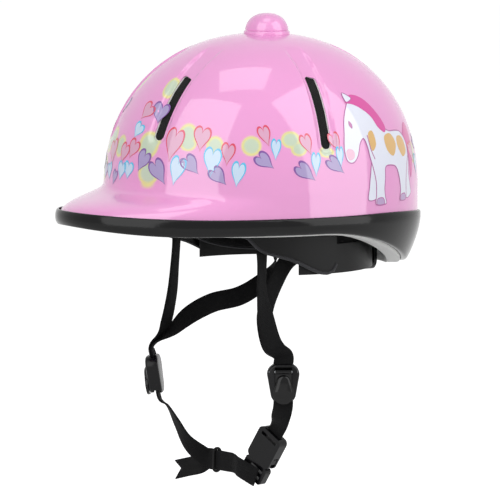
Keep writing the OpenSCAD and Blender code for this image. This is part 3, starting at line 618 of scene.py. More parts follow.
tail_lock = [(29, 4), (35, 12), (41, 16), (46, 13), (47, 2), (45, -9), (41, -20), (37, -24), (35, -11),
             (34, -2)]
patches = [[(2, 5), (10, 7), (15, 0), (10, -8), (3, -4)], [(19, 5), (27, 4), (30, -5), (23, -9), (17, -1)],
           [(-14, 8), (-9, 10), (-8, 1), (-13, -3)]]
for side in (1, -1):
    p, h = pony_at[0] * side, pony_at[1]
    for leg in far_legs:
        print_shape(p, h, leg, coat, 0.14, outline)
    print_shape(p, h, tail_lock, mane, 0.16)
    print_shape(p, h, body, coat, 0.2, outline, 0.9)
    for patch in patches:
        print_shape(p, h, patch, ochre, 0.24)
    print_shape(p, h, mane_lock, mane, 0.27)
    print_shape(p, h, [(-37, -1), (-34, 1), (-30, -1), (-30, -5), (-33, -7), (-36, -6)], muzzle, 0.24)
    for x, y in ((-7, -39), (23, -38)):
        corners = [(x - 4, y + 2), (x, y + 3), (x + 3, y + 2), (x + 4, y - 2), (x - 4, y - 2)]
        print_shape(p, h, corners, hoof, 0.24, outline)
    print_shape(p, h, [(-24, 34), (-24, 42), (-18, 36)], coat, 0.32, outline)
    print_shape(p, h, [(-29, 17), (-28, 20), (-26, 17), (-27, 14)], outline, 0.26)
    print_line(p, h, [(-17, 9), (-16, -2), (-13, -10)], outline, 0.26)
for art in (red, rose, blue, ice, violet, lilac, coat, outline, mane, ochre, muzzle, hoof):
    art.finish()

# ---- Edge trim ----
# Extruded soft PVC, glossy black, pushed over the shell's edge all round and glued. It swells a
# little at the middle of its face and laps over the lacquer with a thin lip.
trim_black, tree = new_material("gloss_pvc")
# Gloss PVC: near-black with a clear reflection, and faint ripples 12 mm long left by the die.
ripple = add(tree, "ShaderNodeTexNoise", {}, {"Scale": 1000 / 12.5, "Detail": 0.0})
bumps = add(tree, "ShaderNodeBump", {},
            {"Strength": 0.04, "Distance": 0.001, "Height": ripple.outputs["Fac"]})
surface(tree, add(tree, "ShaderNodeBsdfPrincipled", {}, {
    "Base Color": linear("#060607"), "Roughness": 0.14, "IOR": 1.53, "Specular IOR Level": 0.2,
    "Normal": bumps.outputs[0]}))

top, low = trim_top(around), trim_bottom(around)
seat = shell_edge(around) - 0.3 - wall * peak_push(around) / peak_reach
side = np.stack([half_length * np.sin(np.radians(around)), -half_width * np.cos(np.radians(around))], 1)
side = side / np.linalg.norm(side, axis=1)[:, None]
# The trim's section, as distance out from the shell and height, from its lip round to its groove.
slice_lines = [(0.25, top + 0.5), (0.9, top + 0.65), (1.6, top + 0.35), (2.1, top - 0.5)]
slice_lines += [(2.25 + 0.75 * math.sin(math.pi * s) ** 0.8, top - 0.5 + (low + 2.0 - top) * s)
                for s in (0.12, 0.26, 0.42, 0.58, 0.74, 0.88)]
slice_lines += [(2.15, low + 1.8), (1.9, low + 0.9), (1.3, low + 0.25), (0.5, low), (-1.6, low),
                (-2.3, low + 0.3), (-2.5, low + 1.0), (-2.5, (seat + low) / 2), (-2.5, seat), (0.25, seat)]
rings = []
for out, z in slice_lines:
    d = tuck(z)
    x = (half_width - d) * np.sin(np.radians(around)) + side[:, 0] * out
    y = -(half_length - d) * np.cos(np.radians(around)) - peak_push(around) + side[:, 1] * out
    rings.append(ring(around, x, y, z))
rings.append(rings[0])
faces = grid_faces(len(rings), len(around), flip=True)
trim = mesh_piece("trim_strip", np.concatenate(rings), faces, trim_black, 50)
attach(trim, "helmet")
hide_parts("edge_trim")

# ---- Foam liner ----
# Expanded polystyrene beads steamed in a mould, 15 mm thick. Its white edge shows under the trim, and
# the beads' rounded cells show close up.
eps, tree = new_material("expanded_polystyrene")
# Bead foam: matt white with a little light passing in, and cells 3 mm across pressed flat, with painted shade
# greying the creases between them.
cells = add(tree, "ShaderNodeTexVoronoi", {"feature": "DISTANCE_TO_EDGE"}, {"Scale": 1000 / 3})
crease = add(tree, "ShaderNodeMapRange", {}, {"Value": cells.outputs["Distance"], "From Max": 0.12})
bumps = add(tree, "ShaderNodeBump", {},
            {"Strength": 0.35, "Distance": 0.0003, "Height": crease.outputs[0]})
# Painted shade: the creases between beads are coloured a little grey, on top of the bump's real grooves.
shade = add(tree, "ShaderNodeMix", {"data_type": "RGBA"},
            {0: crease.outputs[0], "A": linear("#e2e3e3"), "B": linear("#f4f4f2")})
surface(tree, add(tree, "ShaderNodeBsdfPrincipled", {}, {
    "Base Color": shade.outputs["Result"], "Roughness": 0.62, "IOR": 1.5, "Normal": bumps.outputs[0]}))


# The liner's outer skin stands 0.3 mm off the shell's wall, and its inner one is 15 mm further in.
liner_outside = 2.8
liner_inside = 17.8


def liner_ring(p, inset, u, curl, lift=0.0):
    """One ring of the liner below the dome, u of the way down to its lower edge."""
    bottom = lift - 1.3 + 1.5 * (1 - smooth(0, 60, off_front(p)))
    bottom = bottom - nape_fall * smooth(88, 166, off_front(p))
    z = widest + brim_rise + (bottom - widest - brim_rise) * u
    d = inset + curl * tuck(z)
    return ring(p, (half_width - d) * np.sin(np.radians(p)), -(half_length - d) * np.cos(np.radians(p)), z)


around_liner = np.arange(0, 360, 2.5)
liner_shares = shares[::2] + ([shares[-1]] if len(shares) % 2 == 0 else [])
rings = [dome_ring(around_liner, liner_outside, s) for s in liner_shares]
rings += [liner_ring(around_liner, liner_outside, u, 1, 0.6) for u in (0.2, 0.4, 0.6, 0.8, 1.0)]
rings += [liner_ring(around_liner, liner_outside + 0.6, 1.0, 1),
          liner_ring(around_liner, liner_inside - 1.6, 1.0, 0.63)]
rings += [liner_ring(around_liner, liner_inside, u, 0.6, 1.6) for u in (1.0, 0.8, 0.6, 0.4, 0.2)]
rings += [dome_ring(around_liner, liner_inside, s) for s in liner_shares[::-1]]
faces = capped_faces(len(rings), len(around_liner))
liner = mesh_piece("foam_shell", np.concatenate(rings), faces, eps, 0)
cut_by(liner, vent_cutter(-0.6))
liner.data.set_sharp_from_angle(angle=math.radians(42))
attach(liner, "helmet")
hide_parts("foam_liner")

# ---- Vent meshes ----
# Black knitted polyester spacer mesh, glued behind each slot. Its open cells let air through and
# keep insects out.
spacer, tree = new_material("spacer_mesh")
# Knitted polyester: matt black threads round cells 2.6 mm apart; the open middle of each cell is painted
# darker, as painted shade seen through the knit.
cells = add(tree, "ShaderNodeTexVoronoi", {}, {"Scale": 1000 / 2.6, "Randomness": 0.15})
open_cell = add(tree, "ShaderNodeMapRange", {},
                {"Value": cells.outputs["Distance"], "From Min": 0.25, "From Max": 0.55})
# Painted shade: the cells' open middles are near-black, standing in for the shadow seen through the holes.
yarn_and_hole_shade = add(tree, "ShaderNodeMix", {"data_type": "RGBA"},
           {0: open_cell.outputs[0], "A": linear("#040404"), "B": linear("#1c1d1c")})
bumps = add(tree, "ShaderNodeBump", {},
            {"Strength": 0.6, "Distance": 0.0004, "Height": open_cell.outputs[0]})
surface(tree, add(tree, "ShaderNodeBsdfPrincipled", {}, {
    "Base Color": yarn_and_hole_shade.outputs["Result"], "Roughness": 0.85, "Specular IOR Level": 0.15, "Sheen Weight": 0.05,
    "Normal": bumps.outputs[0]}))


def dress(nodes, material):
    """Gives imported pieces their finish."""
    for name in nodes:
        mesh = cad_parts[name].data
        mesh.materials.clear()
        mesh.materials.append(material)


dress(["front_left_mesh", "front_right_mesh", "side_left_mesh", "side_right_mesh", "rear_left_mesh",
       "rear_right_mesh"], spacer)

# ---- Crown button ----
# ABS, moulded in the shell's pink and lacquered with it. It sits on a thin flange with a shadow line,
# and a zinc-plated screw with a washer holds it from inside.


def turned_piece(name, profile, centre, material, steps=96, angle=35):
    """A turned piece from radius and height pairs, standing at a place."""
    a = np.radians(np.arange(0, 360, 360 / steps))
    rings = [ring(a, centre[0] + r * np.sin(a), centre[1] - r * np.cos(a), centre[2] + z) for r, z in profile]
    return mesh_piece(name, np.concatenate(rings), capped_faces(len(rings), steps), material, angle)


# A domed cap, then the shadow line, then the flange.
button_h = 16.5
button_r = 16.9
cap = [(0.3, button_h)]
for i in range(1, 25):
    z = button_h * math.sin(math.radians(90 - i * 90 / 24 * 0.82))
    cap.append((button_r * (1 - (z / button_h) ** 2.3) ** (1 / 2.3), z))
cap += [(16.4, 3.9), (16.1, 3.6), (16.1, 3.3), (17.0, 3.1), (17.4, 2.7), (17.5, 2.2), (17.5, 0.2),
        (17.2, -0.6), (15.0, -0.8)]
button = turned_piece("button_dome", cap, (0, 5, crown_level), printed)
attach(button, "helmet")
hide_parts("crown_button")

zinc, tree = new_material("zinc_plate")
# Bright zinc plate on steel: silver with a soft shine that varies a little, in patches 1.1 mm across.
grain = add(tree, "ShaderNodeTexNoise", {}, {"Scale": 1000 / 1.1, "Detail": 2.0})
rough = add(tree, "ShaderNodeMapRange", {},
            {"Value": grain.outputs["Fac"], "To Min": 0.26, "To Max": 0.42})
surface(tree, add(tree, "ShaderNodeBsdfPrincipled", {}, {
    "Base Color": linear("#c9ccd0"), "Metallic": 1.0, "Roughness": rough.outputs[0]}))
dress(["button_screw", "button_washer"], zinc)

# ---- Cradle ----
# Nylon brow band held to the liner by four push pins, and two toothed nylon belts that a dial at the
# nape draws together. The dial's housing, pinion and knob are acetal with a satin moulded skin.
nylon, tree = new_material("moulded_nylon")
# Nylon 6: satin black, with a spark-eroded grain from the mould. The grain is drawn 0.7 mm across,
# which is coarser than it is, so that it shows.
grain = add(tree, "ShaderNodeTexNoise", {}, {"Scale": 1000 / 0.7, "Detail": 1.0})
bumps = add(tree, "ShaderNodeBump", {},
            {"Strength": 0.12, "Distance": 0.0003, "Height": grain.outputs["Fac"]})
surface(tree, add(tree, "ShaderNodeBsdfPrincipled", {}, {
    "Base Color": linear("#070708"), "Roughness": 0.4, "IOR": 1.53, "Specular IOR Level": 0.15,
    "Normal": bumps.outputs[0]}))
acetal, tree = new_material("moulded_acetal")
# Acetal: shinier than the nylon, with the same mould grain, fainter.
grain = add(tree, "ShaderNodeTexNoise", {}, {"Scale": 1000 / 0.7, "Detail": 1.0})
bumps = add(tree, "ShaderNodeBump", {},
            {"Strength": 0.05, "Distance": 0.0003, "Height": grain.outputs["Fac"]})
surface(tree, add(tree, "ShaderNodeBsdfPrincipled", {}, {
    "Base Color": linear("#08080a"), "Roughness": 0.27, "IOR": 1.48, "Specular IOR Level": 0.2,
    "Normal": bumps.outputs[0]}))


def softened(node, width, material, body):
    """A packed moulding with its corners rounded off, which stands in for the sharp one."""
    work = bmesh.new()
    work.from_mesh(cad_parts[node].data)
    bmesh.ops.remove_doubles(work, verts=work.verts, dist=2e-6)
    bmesh.ops.dissolve_limit(work, angle_limit=math.radians(1.0), verts=work.verts, edges=work.edges)
    mesh = bpy.data.meshes.new(node + "_moulding")
    work.to_mesh(mesh)
    work.free()
    mesh.materials.clear()
    mesh.materials.append(material)
    made = bpy.data.objects.new(node + "_moulding", mesh)
    bpy.context.scene.collection.objects.link(made)
    mesh.polygons.foreach_set("use_smooth", [True] * len(mesh.polygons))
    mesh.polygons.foreach_set("material_index", [0] * len(mesh.polygons))
    mesh.set_sharp_from_angle(angle=math.radians(50))
    corner = made.modifiers.new("corner", "BEVEL")
    corner.width = width / 1000
    corner.segments = 3
    corner.limit_method = "ANGLE"
    corner.angle_limit = math.radians(50)
    corner.harden_normals = True
    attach(made, body)
    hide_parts(node)
    return made


band_low_corner, band_high_corner = packed("brow_band")
band_w = band_high_corner[0]
band_l = -band_low_corner[1]
band_top = band_high_corner[2]
arc = np.linspace(-101, 101, 120)
band_y = -band_l * np.cos(np.radians(arc))
# Its lower edge drops in a soft step at each temple and turns up again at its back end.
band_low = np.interp(band_y, [-62, -56, -52, -48, -44, -38, -30, -20, -12, -4, 4, 10, 15, 18, 20],
                     [-1, -1.6, -3.4, -8, -12.4, -15.4, -17.6, -20.6, -24, -28, -31.4, -32.4, -31.6,
                      -29.4, -25])
points = []
section = [(0.5, "low", 0.0), (0.1, "low", 0.1), (0.0, "low", 0.5), (0.0, "low", 4.0), (0.0, "top", -4.0),
           (0.0, "top", -0.5), (0.1, "top", -0.1), (0.5, "top", 0.0), (0.9, "top", -0.1), (1.0, "top", -0.5),
           (1.0, "top", -4.0), (1.0, "low", 4.0), (1.0, "low", 0.5), (0.9, "low", 0.1)]
for i, a in enumerate(np.radians(arc)):
    for inset, edge, dz in section:
        points.append(((band_w - inset) * math.sin(a), -(band_l - inset) * math.cos(a),
                       (band_top if edge == "top" else band_low[i]) + dz))
n = len(section)
faces = grid_faces(len(arc), n) + [tuple(reversed(range(n))), tuple((len(arc) - 1) * n + k for k in range(n))]
band = mesh_piece("brow_strip", points, faces, nylon, 50)
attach(band, "helmet")
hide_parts("brow_band")
softened("dial_housing", 1.2, acetal, "helmet")
softened("dial_cover", 0.6, acetal, "helmet")
softened("dial_knob", 0.5, acetal, "dial")
softened("anchor_plates", 0.4, nylon, "helmet")
softened("left_belt", 0.25, nylon, "left_belt")
softened("right_belt", 0.25, nylon, "right_belt")
dress(["band_pins"], nylon)
dress(["dial_pinion"], acetal)
dress(["dial_screw", "anchor_rivets", "left_divider_pin", "right_divider_pin"], zinc)

# ---- Comfort pads ----
# Brushed polyester knit over 4 mm foam, welded flat at the edge and bound with a thin piping. Hook
# tape dots hold the crown pad, and the others are held to the cradle in the same way.
knit, tree = new_material("brushed_knit")
# Brushed polyester: soft black nap that lightens a little where it is seen edge-on. Its loops are drawn
# 1.6 mm across, which is coarser than they are, so that they show.
loops = add(tree, "ShaderNodeTexVoronoi", {}, {"Scale": 1000 / 1.6, "Randomness": 0.35})
bumps = add(tree, "ShaderNodeBump", {"invert": True},
            {"Strength": 0.5, "Distance": 0.0004, "Height": loops.outputs["Distance"]})
surface(tree, add(tree, "ShaderNodeBsdfPrincipled", {}, {
    "Base Color": linear("#0b0b0c"), "Roughness": 0.9, "Specular IOR Level": 0.1, "Sheen Weight": 0.05,
    "Sheen Roughness": 0.5, "Normal": bumps.outputs[0]}))
binding, tree = new_material("binding_tape")
# Woven binding: dark grey, a little shinier than the pad's nap.
surface(tree, add(tree, "ShaderNodeBsdfPrincipled", {}, {
    "Base Color": linear("#2b2b2e"), "Roughness": 0.6, "Specular IOR Level": 0.2, "Sheen Weight": 0.1}))


def tube(name, line, radius, material, body, closed=True):
    """A round cord laid along some points, in millimetres."""
    data = bpy.data.curves.new(name, "CURVE")
    data.dimensions = "3D"
    data.bevel_depth = radius / 1000
    data.bevel_resolution = 3
    spline = data.splines.new("POLY")
    spline.points.add(len(line) - 1)
    for point, place in zip(spline.points, line):
        point.co = (*[c / 1000 for c in place], 1)
    spline.use_cyclic_u = closed
    data.materials.append(material)
    made = bpy.data.objects.new(name, data)
    bpy.context.scene.collection.objects.link(made)
    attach(made, body)
    return made


def pad(name, node, cy, rw, rl, start, end, low, high, quilts):
    """A foam pad on an arc: flat where it meets the cradle, swelling towards the head, quilted across."""
    columns, rows = 60, 14
    points, faces, border = [], [], {}
    for face in (0, 1):
        for i in range(columns + 1):
            t = i / columns
            a = math.radians(start + (end - start) * t)
            fade = 0.35 + 0.65 * max(0.0, math.sin(math.pi * (0.04 + 0.92 * t))) ** 0.4
            middle, half = (low(t) + high(t)) / 2, (high(t) - low(t)) / 2 * fade
            for j in range(rows + 1):
                s = 2 * j / rows - 1
                swell = (1 - abs(s) ** 4) ** 0.5 * (1 - abs(2 * t - 1) ** 14) ** 0.5
                dimple = min([abs(t - q) * abs(end - start) * 1.4 for q in quilts] + [9])
                swell *= 1 - 0.34 * math.exp(-(dimple / 1.6) ** 2)
                depth = 1.3 + (2.7 * swell if face else -1.3 * (1 - abs(s) ** 6))
                x = (rw - depth) * math.cos(a)
                points.append((x, cy + (rl - depth) * math.sin(a), middle + s * half))
                if face and (i in (0, columns) or j in (0, rows)):
                    border[(i, j)] = points[-1]
    size = (columns + 1) * (rows + 1)
    for face in (0, 1):
        for i in range(columns):
            for j in range(rows):
                a = face * size + i * (rows + 1) + j
                quad = (a, a + 1, a + rows + 2, a + rows + 1)
                faces.append(quad[::-1] if face else quad)
    loop = [(i, 0) for i in range(columns)] + [(columns, j) for j in range(rows)]
    loop += [(i, rows) for i in range(columns, 0, -1)] + [(0, j) for j in range(rows, 0, -1)]
    index = [i * (rows + 1) + j for i, j in loop]
    faces += [(a, b, size + b, size + a) for a, b in zip(index, index[1:] + index[:1])]
    made = mesh_piece(name, points, faces, knit, 0)
    face_outward(made, join=True)
    made.modifiers.new("soft", "SUBSURF").levels = 1
    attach(made, "helmet")
    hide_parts(node)
    tube(name + "_piping", [border[k] for k in loop], 0.75, binding, "helmet")


# A rolled binding finishes the band's lower edge at each side, where it shows under the rim.
lip = [((band_w - 0.3) * math.sin(math.radians(a)), -(band_l - 0.3) * math.cos(math.radians(a)), low)
       for a, low in zip(arc, band_low)]
tube("band_binding", lip, 1.25, binding, "helmet", closed=False)
pad("brow_cushion", "brow_pad", 0, 79.9, 102.4, 214, 326, lambda t: -1, lambda t: 14,
    (0.17, 0.34, 0.5, 0.66, 0.83))
quarters = (0.25, 0.5, 0.75)
pad("nape_cushion", "nape_pad", 8, 69.2, 69.2, 62, 118, lambda t: -38 - 2 * math.sin(math.pi * t),
    lambda t: -7, quarters)
for side, start, end in (("left", -25, 42), ("right", 205, 138)):
    pad(side + "_side_cushion", side + "_side_pad", 8, 76.6, 76.6, start, end,
        lambda t: -30 + 12 * (1 - t) ** 2, lambda t: 10 - 18 * t, quarters)

# The crown cushion is a disc that sags with the dome, quilted in six petals.
crown_z = 118.8
crown_r = 34.6
profile = []
for i in range(0, 29):
    r = crown_r * i / 28
    sag = -4.2 * (r / crown_r) ** 2.2
    swell = math.sqrt(max(0.0, 1 - (r / (crown_r + 0.1)) ** 6))
    profile.append((r, sag, swell))
points, faces, columns = [], [], 72
for face in (0, 1):
    for r, sag, swell in profile:
        for k in range(columns):
            a = 2 * math.pi * k / columns
            petal = 1 - 0.3 * math.exp(-((((k * 5) % 60) - 30) / 9) ** 2) * smooth(6, 16, r)
            depth = (-2.6 * swell * petal + 1.0) if face else (2.6 * swell)
            points.append((r * math.cos(a), r * math.sin(a), crown_z + sag * 0.8 + (depth - 0.2)))
size = len(profile) * columns
for face in (0, 1):
    for q in grid_faces(len(profile), columns, flip=face == 1):
        faces.append(tuple(face * size + v for v in q))
first, last = (len(profile) - 1) * columns, size + (len(profile) - 1) * columns
faces += [(first + k, first + (k + 1) % columns, last + (k + 1) % columns, last + k) for k in range(columns)]
crown = mesh_piece("crown_cushion", points, faces, knit, 0)
face_outward(crown, join=True)
crown.modifiers.new("soft", "SUBSURF").levels = 1
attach(crown, "helmet")
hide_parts("crown_pad")

hook, tree = new_material("hook_tape")
# Hook tape: rows of stiff nylon hooks 1.5 mm apart that catch the pad's nap.
hooks = add(tree, "ShaderNodeTexVoronoi", {}, {"Scale": 1000 / 1.5, "Randomness": 0.0})
bumps = add(tree, "ShaderNodeBump", {"invert": True},
            {"Strength": 0.8, "Distance": 0.0005, "Height": hooks.outputs["Distance"]})
surface(tree, add(tree, "ShaderNodeBsdfPrincipled", {}, {
    "Base Color": linear("#0b0b0c"), "Roughness": 0.7, "Specular IOR Level": 0.15,
    "Normal": bumps.outputs[0]}))
dress(["hook_dots"], hook)

# ---- Harness webbing ----
# Polyester webbing 15 mm wide, woven black and heat-set. Two arms a side are riveted to the liner and
# meet in a cam divider, and the chin strap's spare end comes back through a rubber keeper.
woven, tree = new_material("polyester_webbing")
# Woven polyester: dull black, with warp cords 1.5 mm wide and weft 1.1 mm apart, both drawn coarser
# than they are, and a faint shine where it is seen edge-on.
place = add(tree, "ShaderNodeUVMap", {"uv_map": "weave"})
picks = add(tree, "ShaderNodeTexBrick", {}, {
    "Vector": place.outputs[0], "Color1": linear("#131314"), "Color2": linear("#0c0c0d"),
    "Mortar": linear("#060607"), "Scale": 1.0, "Mortar Size": 0.16, "Mortar Smooth": 1.0,
    "Brick Width": 1.5, "Row Height": 1.1})
bumps = add(tree, "ShaderNodeBump", {"invert": True},
            {"Strength": 0.7, "Distance": 0.0004, "Height": picks.outputs["Fac"]})
surface(tree, add(tree, "ShaderNodeBsdfPrincipled", {}, {
    "Base Color": picks.outputs["Color"], "Roughness": 0.8, "Specular IOR Level": 0.12, "Sheen Weight": 0.03,
    "Sheen Roughness": 0.4, "Normal": bumps.outputs[0]}))


def turned(t, v):
    """A direction carried through turns about X, then Y, then Z, in degrees."""
    x, y, z = v
    a, b, c = [math.radians(k) for k in t]
    y, z = y * math.cos(a) - z * math.sin(a), y * math.sin(a) + z * math.cos(a)
    x, z = x * math.cos(b) + z * math.sin(b), z * math.cos(b) - x * math.sin(b)
    return np.array([x * math.cos(c) - y * math.sin(c), x * math.sin(c) + y * math.cos(c), z])


def wall_in(p):
    """The way in from the liner's wall at an azimuth."""
    v = -np.array([half_length * math.sin(math.radians(p)), -half_width * math.cos(math.radians(p)), 0])
    return v / np.linalg.norm(v)


def strap_start(p, up, off=0.0):
    """Where a strap leaves its rivet on the liner's inner wall."""
    foot = np.array([84.7 * math.sin(math.radians(p)), -107.2 * math.cos(math.radians(p)), 32.5 + up])
    return foot + wall_in(p) * (1.0 + off)


def along_wall(p):
    """The way round the liner's wall at an azimuth."""
    return np.cross(wall_in(p), [0, 0, 1])


def ribbon(name, node, line, lay, body="helmet", thick=1.4, notch=0.0):
    """A flat strap with soft edges: the line of its middle, and the way its width lies at each point."""
    middle = rounded_path(line, 8, closed=False)
    width = rounded_path(lay, 8, closed=False)
    n = len(middle)
    side = [(-7.35, 0.5), (-6.9, 0.94), (-3.4, 1.0), (0, 1.0), (3.4, 1.0), (6.9, 0.94), (7.35, 0.5)]
    section = [(-7.5, 0.0)] + [(x, -y) for x, y in side] + [(7.5, 0.0)] + side[::-1]
    m = len(section)
    points, places, length = [], [], 0.0
    for i in range(n):
        t = middle[min(n - 1, i + 1)] - middle[max(0, i - 1)]
        t = t / np.linalg.norm(t)
        wide = width[i] - t * (width[i] @ t)
        wide = wide / np.linalg.norm(wide)
        flat = np.cross(t, wide)
        length += np.linalg.norm(middle[i] - middle[i - 1]) if i else 0
        # A notch runs out over the last 12 mm.
        near_end = max(0, 1 - np.linalg.norm(middle[-1] - middle[i]) / 12)
        for across, out in section:
            back = notch * (1 - abs(across) / 7.5) * near_end
            points.append(middle[i] + wide * across + flat * out * thick / 2 - t * back)
            places.append((across + 10, length))
    faces = grid_faces(n, m)
    # The ends are closed from face to face, so that a notch stays open.
    half = m // 2
    cap = [(0, 1, m - 1), (half - 1, half, half + 1)]
    cap += [(k, k + 1, m - k - 1, m - k) for k in range(1, half - 1)]
    faces += [tuple(reversed(f)) for f in cap]
    faces += [tuple((n - 1) * m + k for k in f) for f in cap]
    made = mesh_piece(name, points, faces, woven, 60)
    layer = made.data.uv_layers.new(name="weave")
    for loop in made.data.loops:
        layer.data[loop.index].uv = places[loop.vertex_index]
    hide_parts(node)
    if body:
        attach(made, body)
    return made


# Where each divider and the buckle hang, and how they are turned about X, Y and Z.
left_at, left_turn = np.array([61, -16, -116]), (0, 0, 62)
right_at, right_turn = np.array([-53, -62, -118]), (8, 0, -37)
buckle_at, buckle_turn = np.array([22, -20.6, -191.5]), (0, 33, 19)
left_wide, right_wide = turned(left_turn, (-1, 0, 0)), turned(right_turn, (1, 0, 0))
buckle_wide = turned(buckle_turn, (1, 0, 0))


def in_left(*v):
    """A place given in the left divider's own frame: across, through and up."""
    return left_at + turned(left_turn, v)


def in_right(*v):
    """The same for the right divider."""
    return right_at + turned(right_turn, v)


def in_buckle(*v):
    """The same for the buckle."""
    return buckle_at + turned(buckle_turn, v)


# Each strap leaves its rivet, runs through listed places and enters its divider or the buckle.
ribbon("left_front_arm", "left_front_strap",
       [strap_start(69, 9), strap_start(69, 0), strap_start(69, -8, 0.4), (69.4, -38, 14),
        (66.9, -38.5, 0), (68, -38.5, -20), (67, -38, -45), (66.3, -34, -66), (64.4, -27, -86),
        in_left(0, -1, 21), in_left(0, -0.95, 13), in_left(0, -0.95, 1)],
       [along_wall(69)] * 3 + [(0, -1, 0), (0.2, -0.95, 0), (0.5, -0.8, 0), (0.5, -0.8, 0), (0.1, -1, 0),
                               (-0.2, -1, 0)] + [left_wide] * 3)
ribbon("left_rear_arm", "left_rear_strap",
       [strap_start(118, 9), strap_start(118, 0), strap_start(118, -8, 1), (65, 46, 13), (60, 38, 2),
        (60, 20, -8), (61, 0, -16), (62.5, -14, -24), (62.3, -24, -40), (62.2, -31, -56), (62, -32.5, -68),
        (60.8, -26.5, -86), in_left(0, 1.1, 21), in_left(0, 0.95, 13), in_left(0, 0.95, 1)],
       [along_wall(118)] * 3 + [(0.3, -1, 0.1), (0.2, -0.9, 0.4), (0.1, -0.6, 0.8), (0.05, -0.6, 0.8),
                                (0.1, -0.85, 0.5), (0.15, -0.95, 0.25), (0.15, -1, 0), (0.08, -1, 0),
                                (-0.2, -1, 0)] + [left_wide] * 3)
ribbon("right_front_arm", "right_front_strap",
       [strap_start(-69, 9), strap_start(-69, 0), strap_start(-69, -8, 0.4), (-70.4, -37, 14),
        (-68.9, -36, 0), (-67, -36, -15), (-66, -38, -35), (-64, -42, -60), (-60, -51, -84),
        in_right(0, -1, 22), in_right(0, -0.95, 13), in_right(0, -0.95, 1)],
       [along_wall(-69)] * 3 + [(0, 1, 0), (-0.4, 0.9, 0), (-0.6, 0.8, 0), (-0.6, 0.8, 0), (-0.5, 0.85, 0),
                                (-0.5, 0.85, 0)] + [-right_wide] * 3)
ribbon("right_rear_arm", "right_rear_strap",
       [strap_start(-118, 9), strap_start(-118, 0), strap_start(-118, -8, 1), (-60, 46, 12), (-52.5, 43, -9),
        (-51, 43, -30), (-51.5, 40, -44), (-54, 28, -55), (-57, 13, -63), (-60, -8, -67), (-59.5, -28, -75),
        (-56.5, -45, -86), in_right(0, 1.4, 22), in_right(0, 0.95, 13), in_right(0, 0.95, 1)],
       [along_wall(-118)] * 3 + [(-0.3, 1, 0), (-0.3, 1, 0), (-0.5, 0.6, 0.2), (-0.7, 0.2, 0.5),
                                 (-0.6, 0.1, 0.8), (-0.4, 0.1, 1), (-0.3, 0, 1), (-0.6, 0.2, 0.8),
                                 (-0.8, 0.4, 0.4)] + [-right_wide] * 3)
ribbon("left_lower_arm", "left_lower_strap",
       [in_left(0, 0, -1), in_left(0, 0, -17), left_at + (-5, 0.6, -27), in_buckle(0, 0, 47),
        in_buckle(0, 0, 39)],
       [-left_wide, -left_wide, (0.7, 0.6, -0.2), buckle_wide, buckle_wide])
ring_at, ring_run = np.array([-15, -31, -182]), np.array([-42, -7.3, 1])
chin = ribbon("chin_webbing", "chin_strap",
              [in_buckle(7, -5.6, 5.5), in_buckle(-2, -5.9, 3.5), in_buckle(-12, -5, 1),
               ring_at - ring_run * 0.5, ring_at - ring_run * 0.25, ring_at, ring_at + ring_run * 0.25,
               (-35, -44, -170), (-43, -49.5, -155), (-48.5, -54, -143), in_right(0, 0, -18),
               in_right(0, 0, -1)],
              [(0, 0, 1)] * 6 + [(0.1, 0, 1), (0.6, -0.1, 0.75), (0.8, -0.3, 0.5), (0.8, -0.5, 0.3),
                                 right_wide, right_wide], body=None)
beside = np.cross(ring_run, [0, 0, 1])
beside = beside / np.linalg.norm(beside) * 1.9
tail = ribbon("spare_end", "strap_tail",
              [ring_at - ring_run * 0.42 + beside, ring_at - ring_run * 0.25 + beside, ring_at + beside,
               ring_at + ring_run * 0.25 + beside, (-34, -33, -187), (-50, -35, -191), (-66, -38, -195)],
              [(0, 0, 1)] * 4 + [(0.1, 0.1, 1), (0.2, 0.2, 1), (0.3, 0.2, 1)], body=None, notch=8.0)
for strap in (chin, tail):
    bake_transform(strap)

# ---- Dividers, buckle and keeper ----
# Acetal mouldings: a sleeve with a lever that clamps the webbing, a side-release buckle, and a
# moulded rubber ring. The lever's pins are zinc-plated steel.
gloss, tree = new_material("polished_acetal")
# Acetal from a polished cavity: deep black with a hard, small highlight.
surface(tree, add(tree, "ShaderNodeBsdfPrincipled", {}, {
    "Base Color": linear("#060607"), "Roughness": 0.1, "IOR": 1.48, "Specular IOR Level": 0.25}))


def hull_outline(circles, steps=12):
    """The tight outline round some circles, each given as x, z and radius."""
    dots = [(x + r * math.cos(a), z + r * math.sin(a)) for x, z, r in circles
            for a in np.linspace(0, 2 * math.pi, 4 * steps, endpoint=False)]
    return [dots[i] for i in geometry.convex_hull_2d([Vector(d) for d in dots])]


def moulding(name, outline, layers, place, material, cuts=()):
    """A moulding built up in layers of one outline, each as depth and inset; cuts are boxes through it."""
    outline = np.array(outline)
    centre = outline.mean(0)
    n = len(outline)
    points = []
    for depth, inset in layers:
        rel = outline - centre
        share = 1 - inset / np.linalg.norm(rel, axis=1)
        points += [(x, depth, z) for x, z in centre + rel * share[:, None]]
    made = mesh_piece(name, points, capped_faces(len(layers), n), material, 0)
    face_outward(made)
    for (x0, y0, z0), (x1, y1, z1) in cuts:
        corners = [(x, y, z) for x in (x0, x1) for y in (y0, y1) for z in (z0, z1)]
        sides = [(0, 1, 3, 2), (4, 6, 7, 5), (0, 4, 5, 1), (2, 3, 7, 6), (0, 2, 6, 4), (1, 5, 7, 3)]
        cut_by(made, mesh_piece("cutter", corners, sides, material, 0))
    for vertex in made.data.vertices:
        vertex.co = Vector(place(*[c * 1000 for c in vertex.co])) / 1000
    made.data.update()
    made.data.set_sharp_from_angle(angle=math.radians(35))
    return made


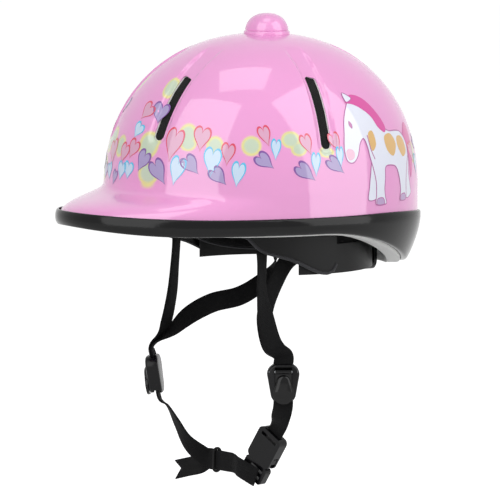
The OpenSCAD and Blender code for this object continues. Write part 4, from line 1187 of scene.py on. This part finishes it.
# The sleeve has the webbing's slot through it and a pocket for the lever.
sleeve = hull_outline([(-4.6, 7.2, 7.6), (4.6, 7.2, 7.6), (-2.4, -7.6, 7.2), (2.4, -7.6, 7.2)])
sleeve_layers = [(-5.8, 2.0), (-5.5, 1.0), (-4.9, 0.3), (-4.2, 0), (2.6, 0), (3.3, 0.3), (3.8, 1.0),
                 (4.0, 2.0)]
thumb = hull_outline([(0, 1.2, 5.4), (-1.4, -6.6, 6.4), (1.4, -6.6, 6.4)])
thumb_layers = [(-8.9, 5.2), (-8.75, 3.4), (-8.3, 1.5), (-7.6, 0.4), (-6.9, 0), (-6.1, 0), (-5.9, 0.2)]
slot_cut = ((-8.1, -2.2, -40), (8.1, 2.2, 40))
pocket_cut = ((-6.6, -9, -40), (6.6, -1, 12.6))
for side, place in (("left", in_left), ("right", in_right)):
    made = moulding(side + "_sleeve", sleeve, sleeve_layers, place, acetal, [slot_cut, pocket_cut])
    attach(made, "helmet")
    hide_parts(side + "_divider_body")
    softened(side + "_divider_lever", 0.6, gloss, side + "_lever")
    made = moulding(side + "_thumb_pad", thumb, thumb_layers, place, gloss)
    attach(made, side + "_lever")
softened("buckle_socket", 0.8, acetal, "helmet")
softened("buckle_plug", 0.7, acetal, "plug")
softened("plug_left_prong", 0.4, acetal, "left_prong")
softened("plug_right_prong", 0.4, acetal, "right_prong")

rubber, tree = new_material("moulded_rubber")
# Moulded rubber: matt black.
surface(tree, add(tree, "ShaderNodeBsdfPrincipled", {}, {
    "Base Color": linear("#0b0b0b"), "Roughness": 0.55, "IOR": 1.52, "Specular IOR Level": 0.15}))
# A flat loop round both layers of webbing, with half-round ends.
ring_through = beside / np.linalg.norm(beside)
ring_up = np.cross(ring_run / np.linalg.norm(ring_run), ring_through)
outline = []
for a in range(0, 360, 10):
    x, y = math.cos(math.radians(a)), math.sin(math.radians(a))
    up = 2.7 * y + (6.1 if y >= 0 else -6.1)
    outline.append(ring_at + beside / 2 + ring_through * 3.1 * x + ring_up * up)
keeper = tube("keeper_loop", outline, 1.1, rubber, "keeper")
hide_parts("keeper_ring")
